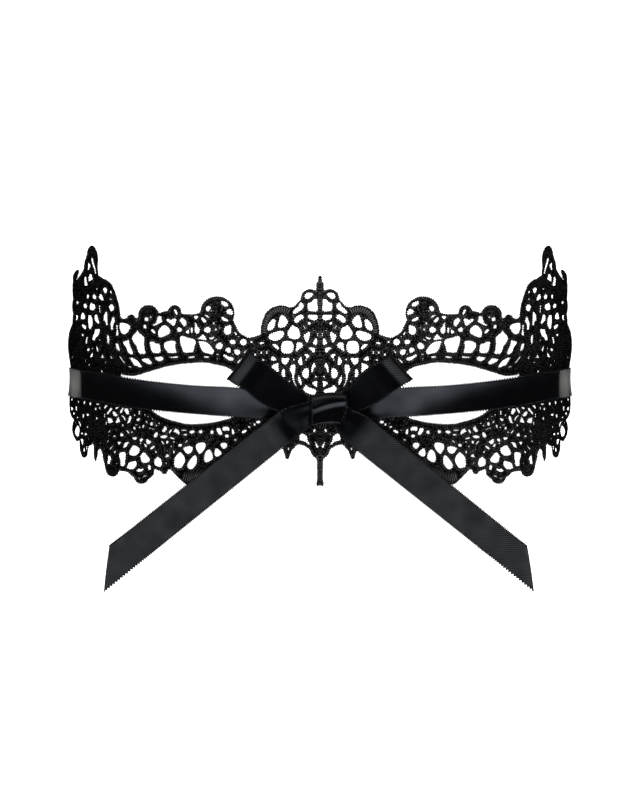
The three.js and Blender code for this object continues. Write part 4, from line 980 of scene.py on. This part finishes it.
def rolled(upper, lower):
    """Selvedges that turn over where a loop ends, each from its outermost point toward a second one."""
    rows = []
    for place, height in ROLL:
        row = []
        for outermost, inner in (upper, lower):
            way = np.subtract(inner, outermost)
            row.append((*(outermost + way * max(place, 0) / np.hypot(*way)), height))
        rows.append(row)
    return rows


def cut_tail(upper, lower, drop):
    """Selvedges that run straight from beside the knot to the slanting cut, at the heights in drop."""
    ends = [np.array(p, dtype=float) for p in (*upper, *lower)]
    upper_run, lower_run = np.hypot(*(ends[1] - ends[0])), np.hypot(*(ends[3] - ends[2]))
    rows = []
    for place, height in drop[:-1]:
        over = ends[0] + (ends[1] - ends[0]) * place / upper_run
        under = ends[2] + (ends[3] - ends[2]) * place / lower_run
        rows.append([(*over, height), (*under, height)])
    rows.append([(*ends[1], drop[-1][0]), (*ends[3], drop[-1][1])])
    return rows


left_strap = [
    [(-69.8, 8.9, 50.6), (-69.4, 0.9, 49.2)], [(-70.7, 8.9, 54.6), (-70.3, 0.9, 52.6)],
    [(-71.4, 9.0, 58.4), (-71.1, 1.0, 56.2)], [(-71.9, 9.2, 60.6), (-71.9, 1.2, 59.4)],
    [(-72.3, 9.3, 61.9), (-72.7, 1.2, 61.0)], [(-72.35, 9.3, 62.35), (-72.75, 1.2, 61.45)],
    [(-71.1, 9.1, 63.35), (-71.7, 0.7, 62.25)], [(-70.1, 8.9, 64.0), (-70.2, 0.5, 63.3)],
    [(-69.4, 8.7, 64.4), (-69.4, 0.45, 63.75)], [(-68.9, 8.5, 64.6), (-68.8, 0.4, 64.05)],
    [(-68.3, 8.4, 64.75), (-68.2, 0.2, 64.2)], [(-67.3, 8.3, 64.9), (-67.2, 0.1, 64.45)],
    tilted(-64.4, 3.85, 64.9, 4), tilted(-58.0, 2.6, 64.0, 6), tilted(-46.0, 1.0, 61.9, 12),
    tilted(-34.7, -0.05, 59.8, 18), tilted(-27.0, -0.5, 58.7, 21, 4.4),
    tilted(-21.0, -0.9, 58.4, 20, 4.3), tilted(-15.0, -1.8, 57.8, 16, 3.9),
    tilted(-9.0, -2.9, 57.2, 4, 3.0), tilted(-3.6, -3.2, 58.2, 0, 2.6),
]
left_loop = [
    [(-4.0, -0.4, 60.2), (-4.4, -4.2, 60.0)], [(-9.5, 4.2, 59.6), (-12.0, -2.2, 59.4)],
    [(-14.8, 8.9, 59.2), (-19.6, 1.4, 59.0)], [(-19.0, 12.6, 59.3), (-25.0, 4.8, 59.2)],
    *rolled([(-20.6, 14.1), (-16.4, 11.0)], [(-26.8, 6.0), (-21.7, 2.8)]),
    [(-12.4, 8.1, 64.6), (-18.2, -0.2, 64.5)], [(-7.6, 4.2, 63.0), (-12.8, -3.1, 62.9)],
    [(-3.4, 1.2, 61.6), (-4.6, -4.8, 61.6)],
]
left_tail = [
    [(-2.0, -0.1, 63.4), (-2.0, -7.0, 61.3)], [(-4.9, -0.8, 63.6), (-3.4, -8.0, 61.4)],
    [(-8.3, -1.6, 63.7), (-4.9, -9.2, 61.6)], [(-11.4, -2.9, 63.3), (-6.5, -10.5, 61.7)],
    *cut_tail([(-13.1, -4.3), (-61.9, -42.7)], [(-7.8, -11.5), (-63.7, -56.6)], TAIL_DROP),
]
left_ribbon = cloth_object("satin_ribbon_left", [
    ribbon_strip(left_strap, pleats=[(84, 9, 0.35, 2.4)]),
    ribbon_strip(left_loop, pleats=[(0, 8, 0.3, 2.6), (62, 7, 0.3, 2.6)], crown=0.14),
    ribbon_strip(left_tail, pleats=[(0, 4, 0.15, 2.2)]),
])

# The satin: a steep twill with flecks and streaks under it, broad soft unevenness in its gloss, and
# matt selvedges whose picots carry a painted glint, a lighter dot at each. A grain is how often it
# changes in a millimetre, across the ribbon and along it, or for the flecks on a slant to either side.
TWILL_PITCH = 0.66
STREAK_GRAIN = (0.5, 2.6)
FLECK_GRAIN = (0.9, 1.8)
GLOSS_GRAIN = (0.16, 0.13)
PICOT_BITE = 0.035
WEAVE_DEPTH = 0.000025
DEEP_BLACK = (0.0002, 0.0002, 0.0003)
BLUE_BLACK = (0.001, 0.0011, 0.0014)
# The lightest colour is a painted glint on the picots.
PICOT_GLINT = (0.045, 0.045, 0.05)


def grained(x, y, grain, detail):
    """Noise with a grain of its own in each of two directions."""
    place = x.node("ShaderNodeCombineXYZ", {}, {"X": x * grain[0], "Y": y * grain[1]})
    return noise(place, 1.0, detail)


satin, draw, surface = shader(
    "black_satin", Specular_IOR_Level=0.15, Specular_Tint=(0.72, 0.84, 1, 1), Sheen_Weight=0.0,
    Coat_Roughness=0.2,
)
across = attribute(draw, "across")
along = attribute(draw, "along")
reach = attribute(draw, "reach")
streaks = grained(across, along, STREAK_GRAIN, 2.0)
flecks = grained(along - across, along + across, FLECK_GRAIN, 1.0)
undulation = grained(across, along, GLOSS_GRAIN, 1.0)
twill = ((along * 0.5 + across * 0.87) * (2 * math.pi / TWILL_PITCH)).sine()
wave = (along * (2 * math.pi / PICOT_PITCH)).sine()
# A painted glint: a lighter dot at each picot, in a band just inside the selvedge.
picot_glint = (wave * 0.5 + 0.5) * shaded(reach, (0.89, grey(0)), (0.94, grey(1)), (0.985, grey(0)))
toothed = reach - wave * PICOT_BITE
rough_edge = shaded(toothed, (0.92, grey(0.2)), (0.95, grey(0.65)))
face_gloss = shaded(toothed, (0.9, grey(0.6)), (0.94, grey(0)))
gloss = face_gloss * (twill * 0.7 + 0.5) * (undulation * 2.3 - 0.1)
shade = shaded(
    flecks * 0.7 + streaks * 0.2 + picot_glint * 0.6,
    (0.3, DEEP_BLACK), (0.9, BLUE_BLACK), (1.0, PICOT_GLINT),
)
normals = embossed(twill * 0.3 + flecks * 0.8 + streaks * 0.6, WEAVE_DEPTH)
lead(surface, Base_Color=shade, Roughness=rough_edge, Coat_Weight=gloss, Normal=normals)


def dressed(piece, node):
    """Makes a piece of satin that stands for a node."""
    piece.data.materials.append(satin)
    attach(piece, "root")
    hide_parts(node)


dressed(left_ribbon, "ribbon_left")

# The right ribbon, of the same satin, sewn and folded over in the same way, with a loop and a tail of
# its own. It is tied over the left one and makes the wrap of the knot.


def mirrored(selvedges):
    """The same course on the other side of the middle line."""
    return [[(-under[0], *under[1:]), (-over[0], *over[1:])] for over, under in selvedges]


under_knot = [tilted(-11.5, -2.9, 57.4, 0, 3.4), tilted(-7.0, -3.2, 58.2, 0, 3.0)]
right_strap = mirrored(left_strap[:-2] + under_knot)
right_loop = [
    [(6.6, -4.2, 60.0), (6.8, -0.2, 60.2)], [(14.0, -2.0, 59.4), (11.0, 4.9, 59.6)],
    [(20.0, 1.4, 59.0), (15.2, 8.8, 59.2)], [(25.0, 4.8, 59.2), (19.0, 11.6, 59.3)],
    *rolled([(26.7, 6.0), (22.2, 3.0)], [(20.7, 12.7), (16.4, 10.6)]),
    [(18.4, 0.3, 64.5), (12.4, 7.6, 64.6)], [(13.4, -2.4, 62.9), (8.6, 4.0, 63.0)],
    [(7.6, -4.2, 61.6), (5.4, 1.4, 61.8)],
]
right_tail = [
    [(2.6, -5.6, 62.9), (7.2, -1.0, 63.2)], [(3.9, -7.2, 62.9), (9.4, -2.7, 63.2)],
    [(5.4, -9.7, 62.7), (11.4, -3.6, 62.9)],
    *mirrored(cut_tail([(-13.6, -4.7), (-60.9, -42.9)], [(-7.2, -12.0), (-63.0, -56.4)], TAIL_DROP)),
]
right_ribbon = cloth_object("satin_ribbon_right", [
    ribbon_strip(right_strap, pleats=[(84, 9, 0.35, 2.4)]),
    ribbon_strip(right_loop, pleats=[(0, 8, 0.3, 2.6), (58, 7, 0.3, 2.6)], crown=0.14),
    ribbon_strip(right_tail, pleats=[(0, 5, 0.2, 2.2)]),
])
knot_wrap = [
    [(-2.0, 0.2, 56.8), (7.0, 0.8, 57.0)], [(-2.4, 0.9, 59.0), (7.3, 1.5, 59.2)],
    [(-2.5, 1.05, 61.2), (7.5, 1.7, 61.4)], [(-2.5, 0.6, 63.2), (7.6, 1.4, 63.4)],
    [(-2.5, -0.5, 64.3), (7.7, 0.9, 64.5)], [(-2.5, -1.7, 64.8), (7.8, 0.3, 65.0)],
    [(-2.5, -2.8, 65.0), (7.8, -0.3, 65.15)], [(-2.5, -3.2, 64.9), (7.8, -0.65, 65.05)],
    [(-2.5, -3.9, 64.55), (7.9, -1.3, 64.7)], [(-2.5, -4.4, 64.4), (7.9, -1.8, 64.55)],
    [(-2.5, -5.6, 64.35), (7.7, -3.0, 64.5)], [(-2.5, -7.0, 64.3), (6.3, -6.2, 64.4)],
    [(-2.5, -7.38, 64.3), (5.9, -6.65, 64.4)], [(-2.5, -7.4, 63.9), (5.85, -6.68, 64.0)],
    [(-2.4, -7.3, 62.0), (5.6, -6.6, 62.0)], [(-2.2, -7.2, 58.5), (4.0, -7.0, 58.5)],
]
knot = cloth_object("satin_knot", [ribbon_strip(knot_wrap, crown=0.1, bow=0.6)])
dressed(right_ribbon, "ribbon_right")
dressed(knot, "ribbon_right")

# A plain white floor that only the camera sees, so that it sends no light back. One soft box above
# lights the thread. The world only shows as a reflection in the satin: a dim ceiling, a white cove
# round the table and soft boxes near, far and at both sides.
FLOOR_HALF = 3
FLOOR_HEIGHT = -0.0002
floor_mesh = bpy.data.meshes.new("floor")
corners = [(x * FLOOR_HALF, y * FLOOR_HALF, 0) for x, y in ((-1, -1), (1, -1), (1, 1), (-1, 1))]
floor_mesh.from_pydata(corners, [], [(0, 1, 2, 3)])
pale, draw, surface = shader(
    "pale_floor", Base_Color=(0.9, 0.9, 0.9, 1), Roughness=1.0, Specular_IOR_Level=0.0,
    Emission_Color=(1, 1, 1, 1), Emission_Strength=1.0,
)
floor_mesh.materials.append(pale)
floor = placed("floor", floor_mesh)
floor.location.z = FLOOR_HEIGHT
floor.visible_diffuse = False
floor.visible_glossy = False

# Reflected soft boxes: toward, degrees to where each starts to fade and is gone, brightness, colour.
COOL = (0.97, 1, 1.07)
WARM = (0.93, 0.88, 0.76)
REFLECTED_BOXES = [
    ((0, -0.77, 0.64), 8, 27, 2.4, COOL), ((-0.6, 0.46, 0.64), 4, 24, 1.4, COOL),
    ((0.6, 0.46, 0.64), 4, 24, 1.4, COOL),
    ((-0.92, -0.1, 0.37), 6, 20, 5.6, WARM), ((0.92, -0.1, 0.37), 6, 20, 5.6, WARM),
    ((-0.64, -0.56, 0.52), 6, 22, 0.6, COOL), ((0.64, -0.56, 0.52), 6, 22, 0.6, COOL),
]

# The cove's light against height, from 0 straight down to 1 straight up, and what the ceiling adds.
COVE_ROWS = [(0.37, 0.03), (0.45, 1), (0.66, 1), (0.8, 0)]
COVE = 0.85
CEILING = 0.05

world = bpy.data.worlds.new("studio")
world.use_nodes = True
draw = Wire(world.node_tree, None)
toward = draw.node("ShaderNodeTexCoord", output="Generated")
height = draw.node("ShaderNodeSeparateXYZ", {}, {"Vector": toward}, output="Z")
cove = shaded(height * 0.5 + 0.5, *[(place, grey(light)) for place, light in COVE_ROWS])
glow = cove * COVE + CEILING
for direction, fading, gone, brightness, colour in REFLECTED_BOXES:
    facing = draw.node(
        "ShaderNodeVectorMath", {"operation": "DOT_PRODUCT"},
        {0: toward, 1: Vector(direction).normalized()}, output="Value",
    )
    seen = draw.node(
        "ShaderNodeMapRange", {"interpolation_type": "SMOOTHSTEP"},
        {"Value": facing, "From Min": math.cos(math.radians(gone)),
         "From Max": math.cos(math.radians(fading)), "To Max": brightness},
    )
    tinted = draw.node("ShaderNodeVectorMath", {"operation": "SCALE"}, {0: colour, "Scale": seen})
    glow = draw.node("ShaderNodeVectorMath", {"operation": "ADD"}, {0: glow, 1: tinted})
lead(world.node_tree.nodes["Background"], Color=glow)
world.cycles_visibility.diffuse = False
bpy.context.scene.world = world
bpy.context.scene.view_settings.view_transform = "Standard"

LAMP_POWER = 85
LAMP_SIDE = 0.9
LAMP_HEIGHT = 2.2
lamp = bpy.data.lights.new("box_above", "AREA")
lamp.energy = LAMP_POWER
lamp.size = LAMP_SIDE
lit = placed("box_above", lamp)
lit.location.z = LAMP_HEIGHT
lit.visible_glossy = False

# The camera looks straight down from high up, on the eye line. PIXEL is the width that a pixel of its
# picture shows of the table, in metres.
CAMERA_HEIGHT = 3.0
PICTURE_WIDTH = 640
PIXEL = 0.0002949
SENSOR = 36
FURTHEST = 20
lens = bpy.data.cameras.new("view")
lens.sensor_fit = "HORIZONTAL"
lens.sensor_width = SENSOR
lens.lens = SENSOR * CAMERA_HEIGHT / (PICTURE_WIDTH * PIXEL)
lens.clip_end = FURTHEST
camera = placed("view", lens)
camera.location = (0, EYE_LINE / 1000, CAMERA_HEIGHT)
bpy.context.scene.camera = camera
